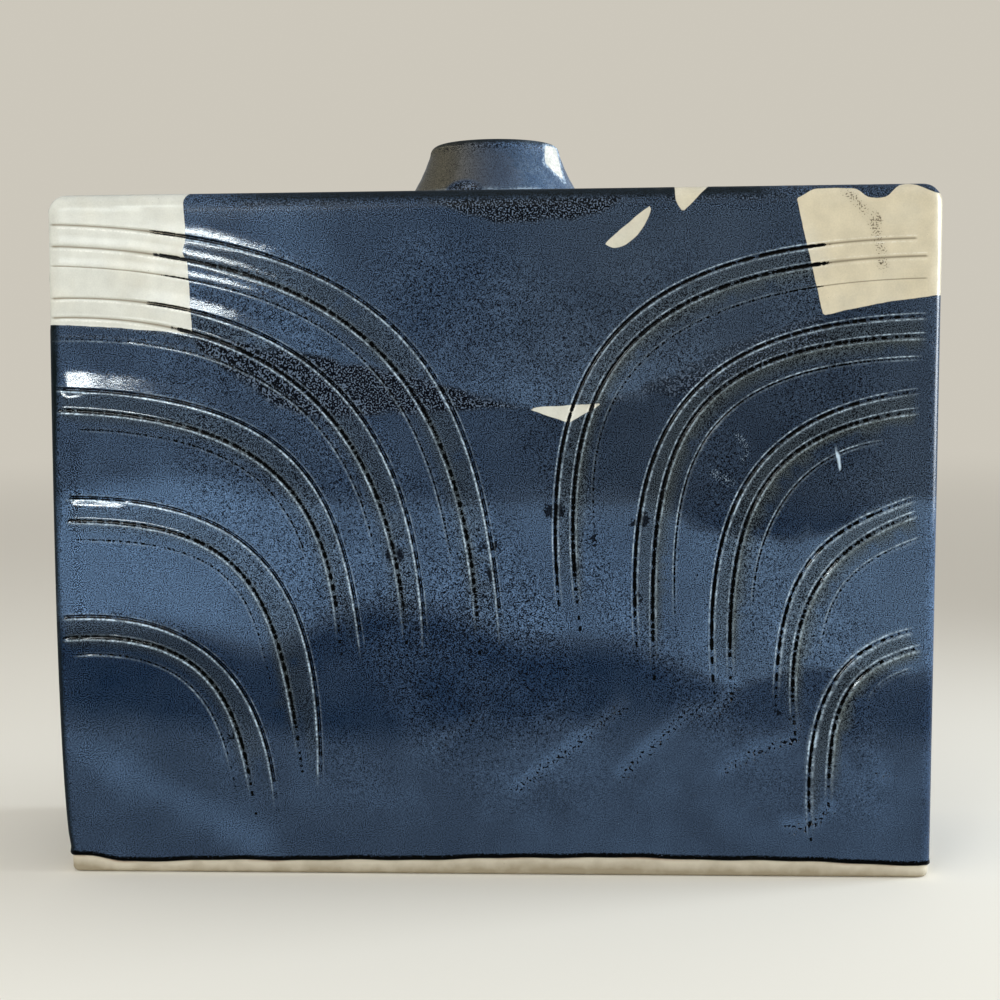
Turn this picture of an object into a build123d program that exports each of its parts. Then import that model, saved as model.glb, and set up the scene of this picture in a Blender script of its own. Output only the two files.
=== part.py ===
from build123d import *
import os

# A slab-built stoneware pillow vase: a flat upright body of six clay slabs with a thrown neck.
# Millimetres, +Z up, the broad front faces -Y. The origin is the centre of the underside.

# Body
body_width = 206.6          # across the top corners, outside
foot_width = 204.2          # across the foot, outside: both ends lean out a little
body_depth = 60.0           # front to back, outside
body_height = 160.5         # table to the top of the shoulder
edge_round = 3.0            # all round the front and the back, softened with a sponge
corner_round = 4.5          # the two upper corners, seen from the front
foot_round = 1.0            # edge of the underside

# Slabs
face_wall = 6.0             # front and back
side_wall = 6.0             # the two narrow ends
base_thickness = 6.0
shoulder_thickness = 6.0

# Seam coils: strings of clay pressed into the inner corners and hollowed with a fingertip
coil_leg = 7.0              # how far a coil reaches along each of its two slabs
coil_hollow = 0.9           # depth of the fingertip's hollow below the straight chord

# Neck, thrown on the wheel
neck_height = 13.5          # shoulder to lip
neck_foot_radius = 21.5     # outside, where it is luted to the shoulder
neck_rim_radius = 15.8      # outside, at the lip
neck_flare = 0.5            # how far the side hollows in between foot and lip
mouth_radius = 11.5         # inside, at the lip
throat_radius = 15.5        # inside, at the foot, and the hole through the shoulder
lip_round = 2.2             # height over which the lip rounds from its outside to its inside

# Places that follow from those sizes
half_depth = body_depth / 2
inner_half_depth = half_depth - face_wall
wall_bottom = base_thickness
wall_top = body_height - shoulder_thickness
lean = (body_width - foot_width) / 2 / body_height   # sideways run of an end per mm of height


def end_face_x(z):
    # Distance from the middle to the outside of an end wall at height z.
    return foot_width / 2 + lean * z


def inner_face_x(z):
    return end_face_x(z) - side_wall


def front_outline(bottom, top, half_width):
    # The upright trapezium of the body between two heights, seen from the front.
    corners = [
        (-half_width(bottom), bottom),
        (half_width(bottom), bottom),
        (half_width(top), top),
        (-half_width(top), top),
    ]
    return Plane.XZ * make_face(Polyline(*corners, close=True))


def make_envelope():
    # The whole outside of the body, as if it were one block of clay.
    block = extrude(front_outline(0, body_height, end_face_x), half_depth, both=True)
    block = fillet(block.edges().filter_by(Axis.Y).group_by(Axis.Z)[-1], corner_round)
    faces = block.faces().sort_by(Axis.Y)
    front_rim = faces[0].edges().sort_by(Axis.Z)[1:]
    back_rim = faces[-1].edges().sort_by(Axis.Z)[1:]
    block = fillet(front_rim + back_rim, edge_round)
    around_foot = block.faces().sort_by(Axis.Z)[0].edges()
    return fillet(around_foot, foot_round)


def make_cavity():
    # The space that the slabs close in.
    return extrude(front_outline(wall_bottom, wall_top, inner_face_x), inner_half_depth, both=True)


def make_base(envelope):
    return split(envelope, Plane.XY.offset(wall_bottom), keep=Keep.BOTTOM)


def make_upper_slabs(envelope):
    # Front and back stand on the base and run the full width and height. The two ends and the
    # shoulder are narrower strips between them, butted and luted, and the shoulder lies on the ends.
    standing = split(envelope, Plane.XY.offset(wall_bottom), keep=Keep.TOP)
    front_plane = Plane.XZ.offset(inner_half_depth)
    back_plane = Plane.XZ.offset(-inner_half_depth)
    front = split(standing, front_plane, keep=Keep.TOP)
    back = split(standing, back_plane, keep=Keep.BOTTOM)
    between = split(split(standing, front_plane, keep=Keep.BOTTOM), back_plane, keep=Keep.TOP)
    under_shoulder = split(between, Plane.XY.offset(wall_top), keep=Keep.BOTTOM)
    opening = extrude(front_outline(wall_bottom, wall_top, inner_face_x), half_depth, both=True)
    ends = (under_shoulder - opening).solids().sort_by(Axis.X)
    strip = split(between, Plane.XY.offset(wall_top), keep=Keep.TOP)
    shoulder_middle = (wall_top + body_height) / 2
    hole = Pos(0, 0, shoulder_middle) * Cylinder(throat_radius, shoulder_thickness * 2)
    return {
        "front_slab": front,
        "back_slab": back,
        "left_side_slab": ends[0],
        "right_side_slab": ends[-1],
        "shoulder_slab": strip - hole,
    }


def coil_section(corner, along_first, along_second):
    # A coil's section: two straight legs on the slabs and a hollowed face between their ends.
    first = corner + along_first * coil_leg
    second = corner + along_second * coil_leg
    chord_middle = (first + second) / 2
    towards_corner = (corner - chord_middle).normalized()
    hollow = ThreePointArc(first, chord_middle + towards_corner * coil_hollow, second)
    return make_face([Line(corner, first), hollow, Line(second, corner)])


def make_corner_coil(end, face):
    # Upright coil between an end wall (end -1 left, 1 right) and a face (-1 front, 1 back).
    corner = Vector(end * inner_face_x(wall_bottom), face * inner_half_depth, wall_bottom)
    section = coil_section(corner, Vector(-end, 0, 0), Vector(0, -face, 0))
    rise = wall_top - wall_bottom
    return Solid.extrude(section.face(), Vector(end * lean * rise, 0, rise))


def make_face_coil(face):
    # Coil along the foot of the front (-1) or back (1), as long as the cavity.
    reach = inner_face_x(wall_top)
    corner = Vector(-reach, face * inner_half_depth, wall_bottom)
    section = coil_section(corner, Vector(0, -face, 0), Vector(0, 0, 1))
    return Solid.extrude(section.face(), Vector(2 * reach, 0, 0))


def make_end_coil(end):
    # Coil along the foot of an end wall, leaning with it.
    corner = Vector(end * inner_face_x(wall_bottom), -inner_half_depth, wall_bottom)
    up_the_wall = Vector(end * lean, 0, 1).normalized()
    section = coil_section(corner, Vector(-end, 0, 0), up_the_wall)
    return Solid.extrude(section.face(), Vector(0, 2 * inner_half_depth, 0))


def make_coils(cavity):
    # The upright coils go in first, then those along the faces, then those along the ends.
    corner_coils = {
        "front_left_seam_coil": make_corner_coil(-1, -1),
        "front_right_seam_coil": make_corner_coil(1, -1),
        "back_left_seam_coil": make_corner_coil(-1, 1),
        "back_right_seam_coil": make_corner_coil(1, 1),
    }
    coils = dict(corner_coils)
    face_coils = {"front_base_coil": make_face_coil(-1), "back_base_coil": make_face_coil(1)}
    for name, coil in face_coils.items():
        coils[name] = (coil & cavity) - list(corner_coils.values())
    earlier = list(coils.values())
    end_coils = {"left_base_coil": make_end_coil(-1), "right_base_coil": make_end_coil(1)}
    for name, coil in end_coils.items():
        coils[name] = coil - earlier
    return coils


def make_neck():
    # Half the neck's section, turned round the upright axis.
    lip_top = body_height + neck_height
    lip_start = lip_top - lip_round
    foot_outside = Vector(neck_foot_radius, 0, body_height)
    lip_outside = Vector(neck_rim_radius, 0, lip_start)
    lip_crest = Vector((neck_rim_radius + mouth_radius) / 2, 0, lip_top)
    lip_inside = Vector(mouth_radius, 0, lip_start)
    foot_inside = Vector(throat_radius, 0, body_height)
    up_the_side = lip_outside - foot_outside
    hollow_way = Vector(-up_the_side.Z, 0, up_the_side.X).normalized()
    side_middle = (foot_outside + lip_outside) / 2 + hollow_way * neck_flare
    outside = ThreePointArc(foot_outside, side_middle, lip_outside)
    inside = Line(lip_inside, foot_inside)
    lip = Spline(lip_outside, lip_crest, lip_inside, tangents=(outside % 1, inside % 0))
    section = make_face([outside, lip, inside, Line(foot_inside, foot_outside)])
    return revolve(section, Axis.Z)


def make_vase():
    envelope = make_envelope()
    pieces = {"base_slab": make_base(envelope)}
    pieces.update(make_upper_slabs(envelope))
    pieces["neck_collar"] = make_neck()
    pieces.update(make_coils(make_cavity()))
    return pieces


os.makedirs("parts", exist_ok=True)
for name, piece in make_vase().items():
    export_step(piece, f"parts/{name}.step")
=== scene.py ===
import math

import bpy
import numpy as np
from mathutils import Matrix, Vector
from mathutils.geometry import delaunay_2d_cdt


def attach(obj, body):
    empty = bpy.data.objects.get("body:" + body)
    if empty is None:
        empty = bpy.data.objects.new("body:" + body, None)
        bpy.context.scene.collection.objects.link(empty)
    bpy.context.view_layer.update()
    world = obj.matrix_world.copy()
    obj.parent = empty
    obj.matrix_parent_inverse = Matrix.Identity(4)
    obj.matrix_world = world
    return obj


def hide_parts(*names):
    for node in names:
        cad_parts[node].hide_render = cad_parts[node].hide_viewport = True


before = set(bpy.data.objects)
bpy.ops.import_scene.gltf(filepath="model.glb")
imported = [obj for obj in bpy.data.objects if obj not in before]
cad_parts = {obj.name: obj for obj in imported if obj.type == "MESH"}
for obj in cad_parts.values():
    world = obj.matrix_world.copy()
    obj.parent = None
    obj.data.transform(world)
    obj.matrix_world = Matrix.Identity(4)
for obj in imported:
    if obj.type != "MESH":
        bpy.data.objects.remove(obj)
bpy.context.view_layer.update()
print("frame loaded")

# Sizes are in millimetres in every dictionary, and become metres where a mesh is written.
# Front faces -Y, +Z is up, and the origin is the middle of the underside.
body = {
    "halfWidth": 103.3,        # at the shoulder
    "footHalfWidth": 102.1,    # at the table: both ends lean out
    "halfDepth": 30.0,
    "height": 160.5,
    "edgeRound": 3.0,          # sponged edges
    "cornerRound": 4.5,        # upper corners, seen from the front
    "wall": 6.0,
    "leftBow": 1.5,            # how far the left end bulges
    "unevenness": 0.22,        # slow hollows and swells of a hand-rolled slab
    "meshStep": 3.0,           # between mesh points where nothing small happens
    "rimGap": 1.2,             # free of loose mesh points, round a groove
    "edgeGap": 0.35,           # and along the edge of a sheet
}


def hexColour(text):
    # sRGB hex to the linear values that a shader wants.
    srgb = np.array([int(text[i:i + 2], 16) for i in (1, 3, 5)]) / 255
    linear = np.where(srgb <= 0.04045, srgb / 12.92, ((srgb + 0.055) / 1.055) ** 2.4)
    return (*linear.tolist(), 1.0)


def addNode(tree, kind, inputs=None, out=0, **settings):
    # Adds a node, sets it, links or fills its inputs, and gives back one of its outputs.
    node = tree.nodes.new("ShaderNode" + kind)
    for name, value in settings.items():
        setattr(node, name, value)
    for key, value in (inputs or {}).items():
        if isinstance(value, bpy.types.NodeSocket):
            tree.links.new(value, node.inputs[key])
        else:
            node.inputs[key].default_value = value
    return node.outputs[out]


def smoothStep(low, high, value):
    # 0 up to low, 1 from high on, and an S curve between. With low above high it runs the other way.
    t = np.clip((value - low) / (high - low), 0, 1)
    return t * t * (3 - 2 * t)


def swell(value, middle, spread):
    # A soft hump of height 1.
    return np.exp(-((value - middle) / spread) ** 2)


def plateau(value, middle, spread):
    # The same with a flat top.
    return np.exp(-((value - middle) / spread) ** 4)


def softMax(a, b, blend):
    # The larger of two, with the corner between them rounded.
    return (a + b + np.sqrt((a - b) ** 2 + blend ** 2)) / 2


def softMin(a, b, blend):
    # The smaller of two, rounded the same way.
    return -softMax(-a, -b, blend)


def halfWidthAt(z):
    # Half the body's width at a height, a straight line from the foot to the shoulder.
    rise = z / body["height"]
    return body["footHalfWidth"] + (body["halfWidth"] - body["footHalfWidth"]) * rise


def endBow(z):
    # Bulge of the left end wall, nothing at the foot and under the shoulder.
    low = body["wall"]
    high = body["height"] - body["wall"]
    return body["leftBow"] * np.sin(np.pi * np.clip((z - low) / (high - low), 0, 1) ** 0.6)


def unevenness(a, b, seed):
    # Slow waves over a slab, the sum of a few long sines.
    rng = np.random.default_rng(seed)
    total = np.zeros_like(a)
    for length in (150, 95, 60, 40):
        turn, phaseA, phaseB = rng.uniform(0, 2 * np.pi, 3)
        along = a * np.cos(turn) + b * np.sin(turn)
        total += length / 150 * np.sin(2 * np.pi * along / length + phaseA) * np.cos(phaseB + b / 70)
    return body["unevenness"] * total / 1.5


# The glaze
# The vase was dipped and poured in one blue glaze: once over the shoulder, once from each lower end.
# Where no pour reached, a clear glaze shows the clay as cream. Where two overlap the blue runs dark.
glazeAreas = {
    "leftPourEdge": -70.0,     # upright edge of the cream corner on the left
    "rightPourEdge": 69.9,     # the same on the right, at the top
    # Upper edges of the two dips: x and z where each begins, its slope, and how it bends down
    "leftDip": (-102.7, 130.4, -0.0315, 0.00136),
    "rightDip": (17.8, 106.5, 0.588, 0.00295),
    # Lower edge of the shoulder pour, three straight lines: x and z of a point on each, and its slope
    "pourLines": ((25, 110.8, 0.054), (-46.6, 105.5, -0.86), (46, 111.5, 0.42)),
    "paleReflectionHigh": 89.0,          # upper edge of the pale band of painted reflection
    "paleReflectionLow": 57.0,
    "darkReflectionLow": 35.0,           # lower edge of the dark band of painted reflection below it
    # Bare leaf-shaped spot, and a pale scuff of the same shape: foot, tip, belly to the right and left
    "leaf": ((26.8, 147.6), (37.2, 156.4), 4.2, 0.3),
    "scuff": ((80.4, 95.0), (78.8, 103.4), 0.7, 0.7),
    # Bare notch at the top edge, right of the neck: its left side and the points of its lower edge
    "notchLeft": 42.5,
    "notch": ((42.6, 156.8), (44.2, 154.3), (49.8, 160.0)),
    # Dark blots where glaze gathered at the ends of the combing: x, z, half height
    "blots": ((-0.4, 71.6, 1.9), (-24.0, 76.0, 1.7), (-21.2, 76.4, 1.7), (-2.1, 78.0, 1.5),
              (0.9, 78.3, 1.5), (13.4, 86.4, 1.9), (15.9, 86.2, 2.1), (19.5, 72.7, 1.4),
              (23.7, 79.6, 1.3), (33.0, 83.2, 1.4), (35.6, 84.3, 1.9), (33.9, 65.7, 1.5),
              (-62.2, 33.0, 1.6), (74.0, 12.6, 1.2), (66.4, 38.8, 1.2), (88.8, 152.4, 1.1),
              (88.8, 141.7, 1.0)),
    # Lines of small pits in the low glaze: x and z of each end, and strength
    "pitLines": ((5.6, 20.7, 30.6, 40.4, 1.0), (30.0, 24.2, 45.7, 38.8, 1.0),
                 (45.7, 38.8, 52.7, 39.1, 1.0), (52.7, 39.1, 56.1, 44.6, 1.0),
                 (-14.6, 30.0, -2.0, 38.0, 0.6), (53.8, 24.7, 61.2, 30.0, 0.8),
                 (61.2, 30.0, 70.0, 32.3, 0.8), (70.0, 32.3, 70.8, 35.8, 0.8),
                 (68.9, 12.1, 74.7, 12.4, 0.9), (74.7, 12.4, 78.6, 16.1, 0.9),
                 (88.6, 28.8, 91.0, 23.0, 0.5), (80.2, 27.0, 80.8, 25.0, 0.7)),
    # Crumbs of iron in the right cream corner, along a bent line
    "crumbLine": ((81, 159), (87.3, 152.5), (89.8, 141.5)),
    # Smears of pale dust: two ends and half width
    "dustLines": (((56.5, 104), (59, 101), 0.8), ((51.5, 95), (55.5, 93), 1.2),
                  ((59, 101), (58, 97), 0.7)),
    # How light the blue is in each area, the bands of painted reflection included: 0 navy, 0.5 blue, 1
    # pale
    "shoulderTone": 0.42,
    "dipTone": 0.38,
    "paleReflectionTone": 0.72,
    "darkReflectionTone": 0.13,
    "lowTone": 0.5,
    "speckled": 0.55,          # how full of dark specks the blue is, in general
}


def dipHeight(x):
    # Upper edge of the two lower dips, a shallow V: the higher of two parabolas.
    left, right = [startZ + slope * (x - startX) - bend * (x - startX) ** 2
                   for startX, startZ, slope, bend in (glazeAreas["leftDip"], glazeAreas["rightDip"])]
    return np.maximum(left, right)


def pourHeight(x):
    # Lower edge of the shoulder pour: flat in the middle, up to the cream corners at both ends.
    flat, leftRise, rightRise = [z + slope * (x - at) for at, z, slope in glazeAreas["pourLines"]]
    return softMax(softMax(flat, leftRise, 6), rightRise, 3)


def leafSpot(x, z, foot, tip, bellyRight, bellyLeft):
    # Inside of a leaf-shaped bare spot, blunt at its foot and pointed at its tip.
    axis = np.array(tip) - np.array(foot)
    length = np.hypot(*axis)
    along = ((x - foot[0]) * axis[0] + (z - foot[1]) * axis[1]) / length ** 2
    across = ((x - foot[0]) * axis[1] - (z - foot[1]) * axis[0]) / length
    part = np.clip(along, 0, 1)
    swelling = 1.75 * part ** 0.45 * (1 - part) ** 0.75
    middle = (bellyRight - bellyLeft) / 2 * swelling
    half = (bellyRight + bellyLeft) / 2 * swelling
    return half - np.abs(across - middle) - np.abs(along - part) * length


def halfPlane(x, z, start, end):
    # Distance in mm to the left of the line from start to end.
    axis = np.array(end) - np.array(start)
    return ((z - start[1]) * axis[0] - (x - start[0]) * axis[1]) / np.hypot(*axis)


def streak(x, z, start, end, spread):
    # A soft line between two points.
    axis = np.array(end) - np.array(start)
    part = np.clip(((x - start[0]) * axis[0] + (z - start[1]) * axis[1]) / (axis @ axis), 0, 1)
    distance = np.hypot(x - start[0] - part * axis[0], z - start[1] - part * axis[1])
    return np.exp(-(distance / spread) ** 2)


def pourArea(x, y, z):
    # How far inside the shoulder pour a point lies, in mm, with the pour's left and right edges.
    # The leaf and the notch are taken out of it, and taper off behind the front.
    leftEdge = glazeAreas["leftPourEdge"] - 0.05 * (z - 145) - 0.9 * swell(z, 147, 1.8)    # with a nick
    leftEdge = leftEdge + 1.3 * smoothStep(157.5, 161, z) ** 2    # turns in at the top
    rightEdge = glazeAreas["rightPourEdge"] + 0.23 * (158 - z)
    behind = behindFront(y)
    aboveEdge = z - pourHeight(x) + 6 * behind * swell(x, 18, 14)
    pour = np.minimum(softMin(x - leftEdge, rightEdge - x, 0.5), aboveEdge)
    pour = np.minimum(pour, 12 * behind - leafSpot(x, z, *glazeAreas["leaf"]))
    first, second, third = glazeAreas["notch"]
    notch = softMin(x - glazeAreas["notchLeft"], halfPlane(x, z, first, second), 0.6)
    notch = softMin(notch, halfPlane(x, z, second, third), 0.6)
    pour = np.minimum(pour, 5 * smoothStep(-29, 20, y) - notch)
    # Above the right cream corner the pour comes over the top edge in a scalloped lip.
    lip = 159.5 - 2.2 * smoothStep(75, 69.5, x) - 2.4 * plateau(x, 88, 3.7) + 0.9 * swell(x, 95, 2.6)
    lip = lip - 1.3 * smoothStep(97, 102, x)
    return np.maximum(pour, np.minimum(z - lip, x - 66)), leftEdge, rightEdge


def darkOverlap(x, z, pour, dip, leftEdge, rightEdge):
    # How far inside the dark overlaps a point lies: the lens between the pour and the dips, and a wavy
    # band along the top that hangs lowest below the neck.
    topBand = z - 158.6 + 6.0 * plateau(x, 9, 19) + 1.6 * swell(x, 52, 20)
    topBand = topBand + 1.6 * swell(x, -45, 18) + 0.4 * np.sin(x / 3.1) + 0.3 * np.sin(x / 1.3)
    topBand = np.minimum(topBand, np.minimum(x - leftEdge - 4, rightEdge - x - 2))
    topBand = np.minimum(topBand, 158.4 - z)
    lens = np.minimum(np.minimum(pour, dip), 0.9 - 0.6 * smoothStep(10, 35, x))
    return np.maximum(lens, topBand)


def paintedReflectionBands(x, z, crisp):
    # Bands of painted reflection across the dips, from 0 to 1: a pale band, a dark band below it, and
    # the blue at the foot with a painted lightness of its own. Their edges wander, and are soft on the
    # left and crisp on the right.
    paleReflectionHigh = glazeAreas["paleReflectionHigh"] + 5 * swell(x, -76, 25) - 8.8 * plateau(x, 65, 22)
    paleReflectionLow = glazeAreas["paleReflectionLow"] - 0.045 * x + 6.5 * plateau(x, -20, 20)
    paleReflectionLow = paleReflectionLow - 5 * swell(x, -56, 11) - 4 * smoothStep(28, 42, x) - 5 * swell(x, 56, 10)
    softHigh = 3.5 - 2 * crisp
    softLow = 5 - 3.5 * crisp
    paleBlueAndReflection = smoothStep(-softHigh, softHigh, paleReflectionHigh - z) * smoothStep(-softLow, softLow, z - paleReflectionLow)
    low = smoothStep(-5, 7, glazeAreas["darkReflectionLow"] + 2.5 * np.sin(x / 24) - z)
    navyAndDarkReflection = smoothStep(-softLow, softLow, paleReflectionLow - z) * (1 - low)
    return paleBlueAndReflection, navyAndDarkReflection, low


def behindFront(y):
    # 0 on the front, 1 behind it, where its small marks have faded out.
    return smoothStep(-29, 6, y)


def glazeFields(points):
    # What the glaze does at a point of the body, painted reflections and painted shade included:
    # distances in mm to the edges of the areas, and how light, how speckled and how pitted the blue is,
    # from 0 to 1.
    x, y, z = points.T
    onFront = 1 - behindFront(y)
    nearFace = smoothStep(21, 26.5, np.abs(y))    # the darkened rims follow the edges of both faces, the left one as painted shade
    right = smoothStep(-15, 35, x)
    crisp = smoothStep(35, 60, x)
    dip = dipHeight(x) - z
    pour, leftEdge, rightEdge = pourArea(x, y, z)
    paleBlueAndReflection, navyAndDarkReflection, low = paintedReflectionBands(x, z, crisp)

    # Tone: lighter towards the left end, darkest in the right dip, with a pale streak at the lower left
    shoulderTone = glazeAreas["shoulderTone"] + 0.2 * smoothStep(-15, -45, x)
    shoulderTone = shoulderTone + 0.22 * smoothStep(130, 112, z)
    dipTone = glazeAreas["dipTone"] + 0.16 * smoothStep(-30, -70, x)
    dipTone = dipTone - 0.26 * right * smoothStep(100, 75, x)
    paleReflectionTone = glazeAreas["paleReflectionTone"] + 0.28 * smoothStep(-20, -80, x) + 0.14 * smoothStep(30, 90, x)
    darkReflectionTone = glazeAreas["darkReflectionTone"] + 0.13 * crisp
    lowTone = glazeAreas["lowTone"] + 0.06 * right + 0.22 * streak(x, z, (-100, 31), (-56, 8.5), 4.5)
    poured = smoothStep(-1, 1, pour - dip)
    # Across the dips the tone is painted reflection: a pale band, a dark band below it, and the blue at
    # the foot
    tone = (dipTone + (shoulderTone - dipTone) * poured) * (1 - paleBlueAndReflection) * (1 - navyAndDarkReflection) * (1 - low)
    tone = tone + paleReflectionTone * paleBlueAndReflection + lowTone * low + darkReflectionTone * navyAndDarkReflection

    # Speckle: most along the top, in the middle and in a column up the left edge
    top = smoothStep(152, 157, z) * smoothStep(-75, -60, x)
    middle = np.exp(-((x + 8) / 34) ** 2 - ((z - 60) / 15) ** 2)
    leftColumn = swell(x + 0.03 * z, -95.5, 1.6) * (smoothStep(112, 100, z) * smoothStep(18, 28, z))
    speckle = glazeAreas["speckled"] - 0.2 * paleBlueAndReflection - 0.1 * navyAndDarkReflection - 0.45 * low
    speckle = speckle + 0.2 * low * smoothStep(10, -40, x) + 0.3 * top + 0.42 * middle
    speckle = speckle - 0.17 * right * smoothStep(94, 106, z) * (1 - top) + 0.6 * leftColumn

    # Small marks of the front: a line of pits has a pale ridge above it
    lines = glazeAreas["pitLines"]
    pits = np.max([streak(x, z, line[:2], line[2:4], 1.3) * line[4] for line in lines], axis=0)
    ridge = np.max([streak(x, z - 0.9, line[:2], line[2:4], 1.7) * line[4] for line in lines], axis=0)
    bends = glazeAreas["crumbLine"]
    crumbs = sum(streak(x, z, start, end, 1.5) for start, end in zip(bends, bends[1:]))
    scuff = leafSpot(x, z, *glazeAreas["scuff"])
    dust = sum(streak(x, z, *line) for line in glazeAreas["dustLines"])
    blots = glazeAreas["blots"]
    blot = np.max([tall - np.hypot(1.5 * (x - cx), z - cz) for cx, cz, tall in blots], axis=0)

    # Painted shade along the rolled left edge, a darker rolled top edge, and the matt glaze of the top
    # and the right
    fromLeft = x + halfWidthAt(z) + endBow(z)
    leftEdgeShade = smoothStep(3.3, 1.9, fromLeft + 0.9 * smoothStep(120, 95, z))
    topEdgeDark = smoothStep(157.7, 158.9, z) * smoothStep(-70, -50, x) * smoothStep(68, 60, x)
    mattRight = 0.5 * right * smoothStep(78, 92, z)
    mattTop = smoothStep(155.5, 157.5, z) * (0.4 + 0.6 * nearFace)
    faded = 4 * (1 - onFront)
    return {
        "cream": -np.maximum(pour, dip),
        "overlap": darkOverlap(x, z, pour, dip, leftEdge, rightEdge),
        "tone": tone + 0.3 * ridge * onFront,
        "speckle": speckle,
        "pits": np.clip(pits, 0, 1) * onFront,
        "crumbs": np.clip(crumbs, 0, 1) * onFront,
        "dust": np.clip(dust, 0, 1) * onFront,
        "scuff": np.maximum(scuff - faded, -3),
        "blot": np.maximum(blot - faded, -3),
        "rim": np.maximum(leftEdgeShade, 0.85 * topEdgeDark) * nearFace,
        "dull": mattRight + 0.4 * crisp * paleBlueAndReflection,
        "matt": np.maximum(mattRight, mattTop),
        # the cream grows warmer and darker to the right, partly as painted shade
        "warm": 0.75 * smoothStep(0, 45, x) + 0.25 * smoothStep(45, 85, x),
    }


# Fields that every mesh carries for the shader. Those in farOutside are distances, and a mesh that
# doesn't set them lies far outside.
groundFields = ("cream", "overlap", "tone", "speckle", "pits", "crumbs", "scuff", "dust", "blot", "rim",
                "dull", "matt", "warm", "scratch", "pool", "crest", "thin", "brown", "run", "bead",
                "bare")
farOutside = ("bare", "scuff", "blot")


def makePiece(name, points, faces, fields, node, material):
    # Writes a closed mesh, its fields as attributes, and its place in the frame.
    mesh = bpy.data.meshes.new(name)
    mesh.from_pydata((points * 0.001).tolist(), [], faces)
    mesh.shade_smooth()
    mesh.set_sharp_from_angle(angle=math.radians(62))
    for field in groundFields:
        values = fields.get(field)
        if values is None:
            values = np.full(len(points), -9.0 if field in farOutside else 0.0)
        layer = mesh.attributes.new(field, "FLOAT", "POINT")
        layer.data.foreach_set("value", np.asarray(values, dtype=np.float32))
    mesh.materials.append(material)
    piece = bpy.data.objects.new(name, mesh)
    bpy.context.scene.collection.objects.link(piece)
    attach(piece, "root")
    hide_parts(node)
    print(name, len(faces), "faces")
    return piece


def insidePolygon(points, polygon):
    # Counts the edges of the polygon to the right of each point.
    x, y = points[:, :1], points[:, 1:]
    x0, y0 = polygon[:, 0], polygon[:, 1]
    x1, y1 = np.roll(x0, -1), np.roll(y0, -1)
    rise = np.where(np.abs(y1 - y0) < 1e-12, 1e-12, y1 - y0)
    crosses = ((y0 > y) != (y1 > y)) & (x < (x1 - x0) * (y - y0) / rise + x0)
    return crosses.sum(axis=1) % 2 == 1


def triangulate(points, loops, outside, holes):
    # Fills the outline round the holes with triangles. Loops are lists of point numbers.
    edges = []
    for loop in loops:
        edges += list(zip(loop, np.roll(loop, -1).tolist()))
    flat = [Vector(p) for p in points.tolist()]
    result = delaunay_2d_cdt(flat, edges, [], 0, 1e-6)
    triangles = np.array(result[2])
    origin = np.array([ids[0] for ids in result[3]])
    triangles = origin[triangles]
    middle = points[triangles].mean(axis=1)
    keep = insidePolygon(middle, points[outside])
    for hole in holes:
        keep &= ~insidePolygon(middle, points[hole])
    return triangles[keep]


def spread(start, end, step):
    # Even places from start to end, about a step apart.
    count = max(2, int(round(abs(end - start) / step)) + 1)
    return np.linspace(start, end, count)


def gridQuads(numbers):
    # The corners of every cell in a grid of point numbers.
    low, high = numbers[:-1], numbers[1:]
    return np.stack([low[:, :-1], low[:, 1:], high[:, 1:], high[:, :-1]], axis=-1).reshape(-1, 4)


def gridRim(numbers):
    # The point numbers round the rim of a grid.
    return np.concatenate([numbers[0, :-1], numbers[:-1, -1], numbers[-1, :0:-1], numbers[:0:-1, 0]])


def closeBehind(points, loop, inner):
    # Walls from the rim of a sheet straight to a flat back: new points and faces.
    first = len(points)
    copies = first + np.arange(len(loop))
    nextLoop = np.roll(loop, -1)
    nextCopies = np.roll(copies, -1)
    walls = np.stack([nextLoop, loop, copies, nextCopies], axis=1).tolist()
    return np.vstack([points, inner]), walls + [copies[::-1].tolist()]


# The combed strokes
# A three-toothed comb was drawn from each end inwards and down, so one stroke is three grooves.
# Each groove is one cubic curve: x and z at the end wall, x and z where the tooth lifts off, then how
# strongly its start pulls the sweep outwards, how strongly its tail pulls it up, and the tail's lean.
# fall is the slope of the whole stroke where it leaves the end wall, room the free clay above it.
comb = {
    "toothWidth": (0.54, 0.6, 0.28),    # half width of each groove
    "toothDepth": (0.42, 0.36, 0.12),
    "lightHand": 0.84,                  # the strokes on the right were drawn more lightly
    "beadLength": (2.0, 1.3, 0.9),      # the pooled black breaks into beads of about this length
    "beading": (0.25, 0.8, 2.4),        # and this strongly, on the left
    "beadingRight": (0.3, 0.4, 4.0),
    "bevel": (0.1, 0.08, 0.05),         # how far the clay is pressed down on the inner side of a tooth
    "rise": (0.1, 0.09, 0.05),          # how far it swells on the outer side
    "innerPale": (1.3, 1.0, 0.45),      # how pale a groove's edges are on the left: glaze breaking pale, and a painted highlight on the inner edge
    "outerPale": (0.3, 0.15, 0.08),
    "innerPaleRight": (0.7, 0.5, 0.2),
    "outerPaleRight": (1.0, 0.85, 0.8),
    "outerMargin": (3.7, 1.2, 0.95),    # fine mesh on each side of a groove
    "innerMargin": (1.3, 1.25, 0.95),
    "pressMargin": 2.7,                 # on the inner side where a thumb smoothed the clay
    "openRoom": 9.0,                    # free clay above a stroke that names none
    "edgeBeyond": 0.12,                 # where the glaze breaks, beyond the groove
    "brimBeyond": 0.28,                 # where the mesh of the groove ends, beyond that
    "rowStep": 0.85,                    # mesh along a groove
    "columnStep": 0.7,                  # and beside it, at most
    "driftStep": 6,                     # the hand's pressure wanders over about this length
    "fadeIn": 2.5,
    "fadeOut": 16.0,
    "tailRun": 5.5,                     # dotted run of black beyond the groove
    "headRun": 1.7,                     # how far a scratch in the cream runs on round the edge
}
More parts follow.
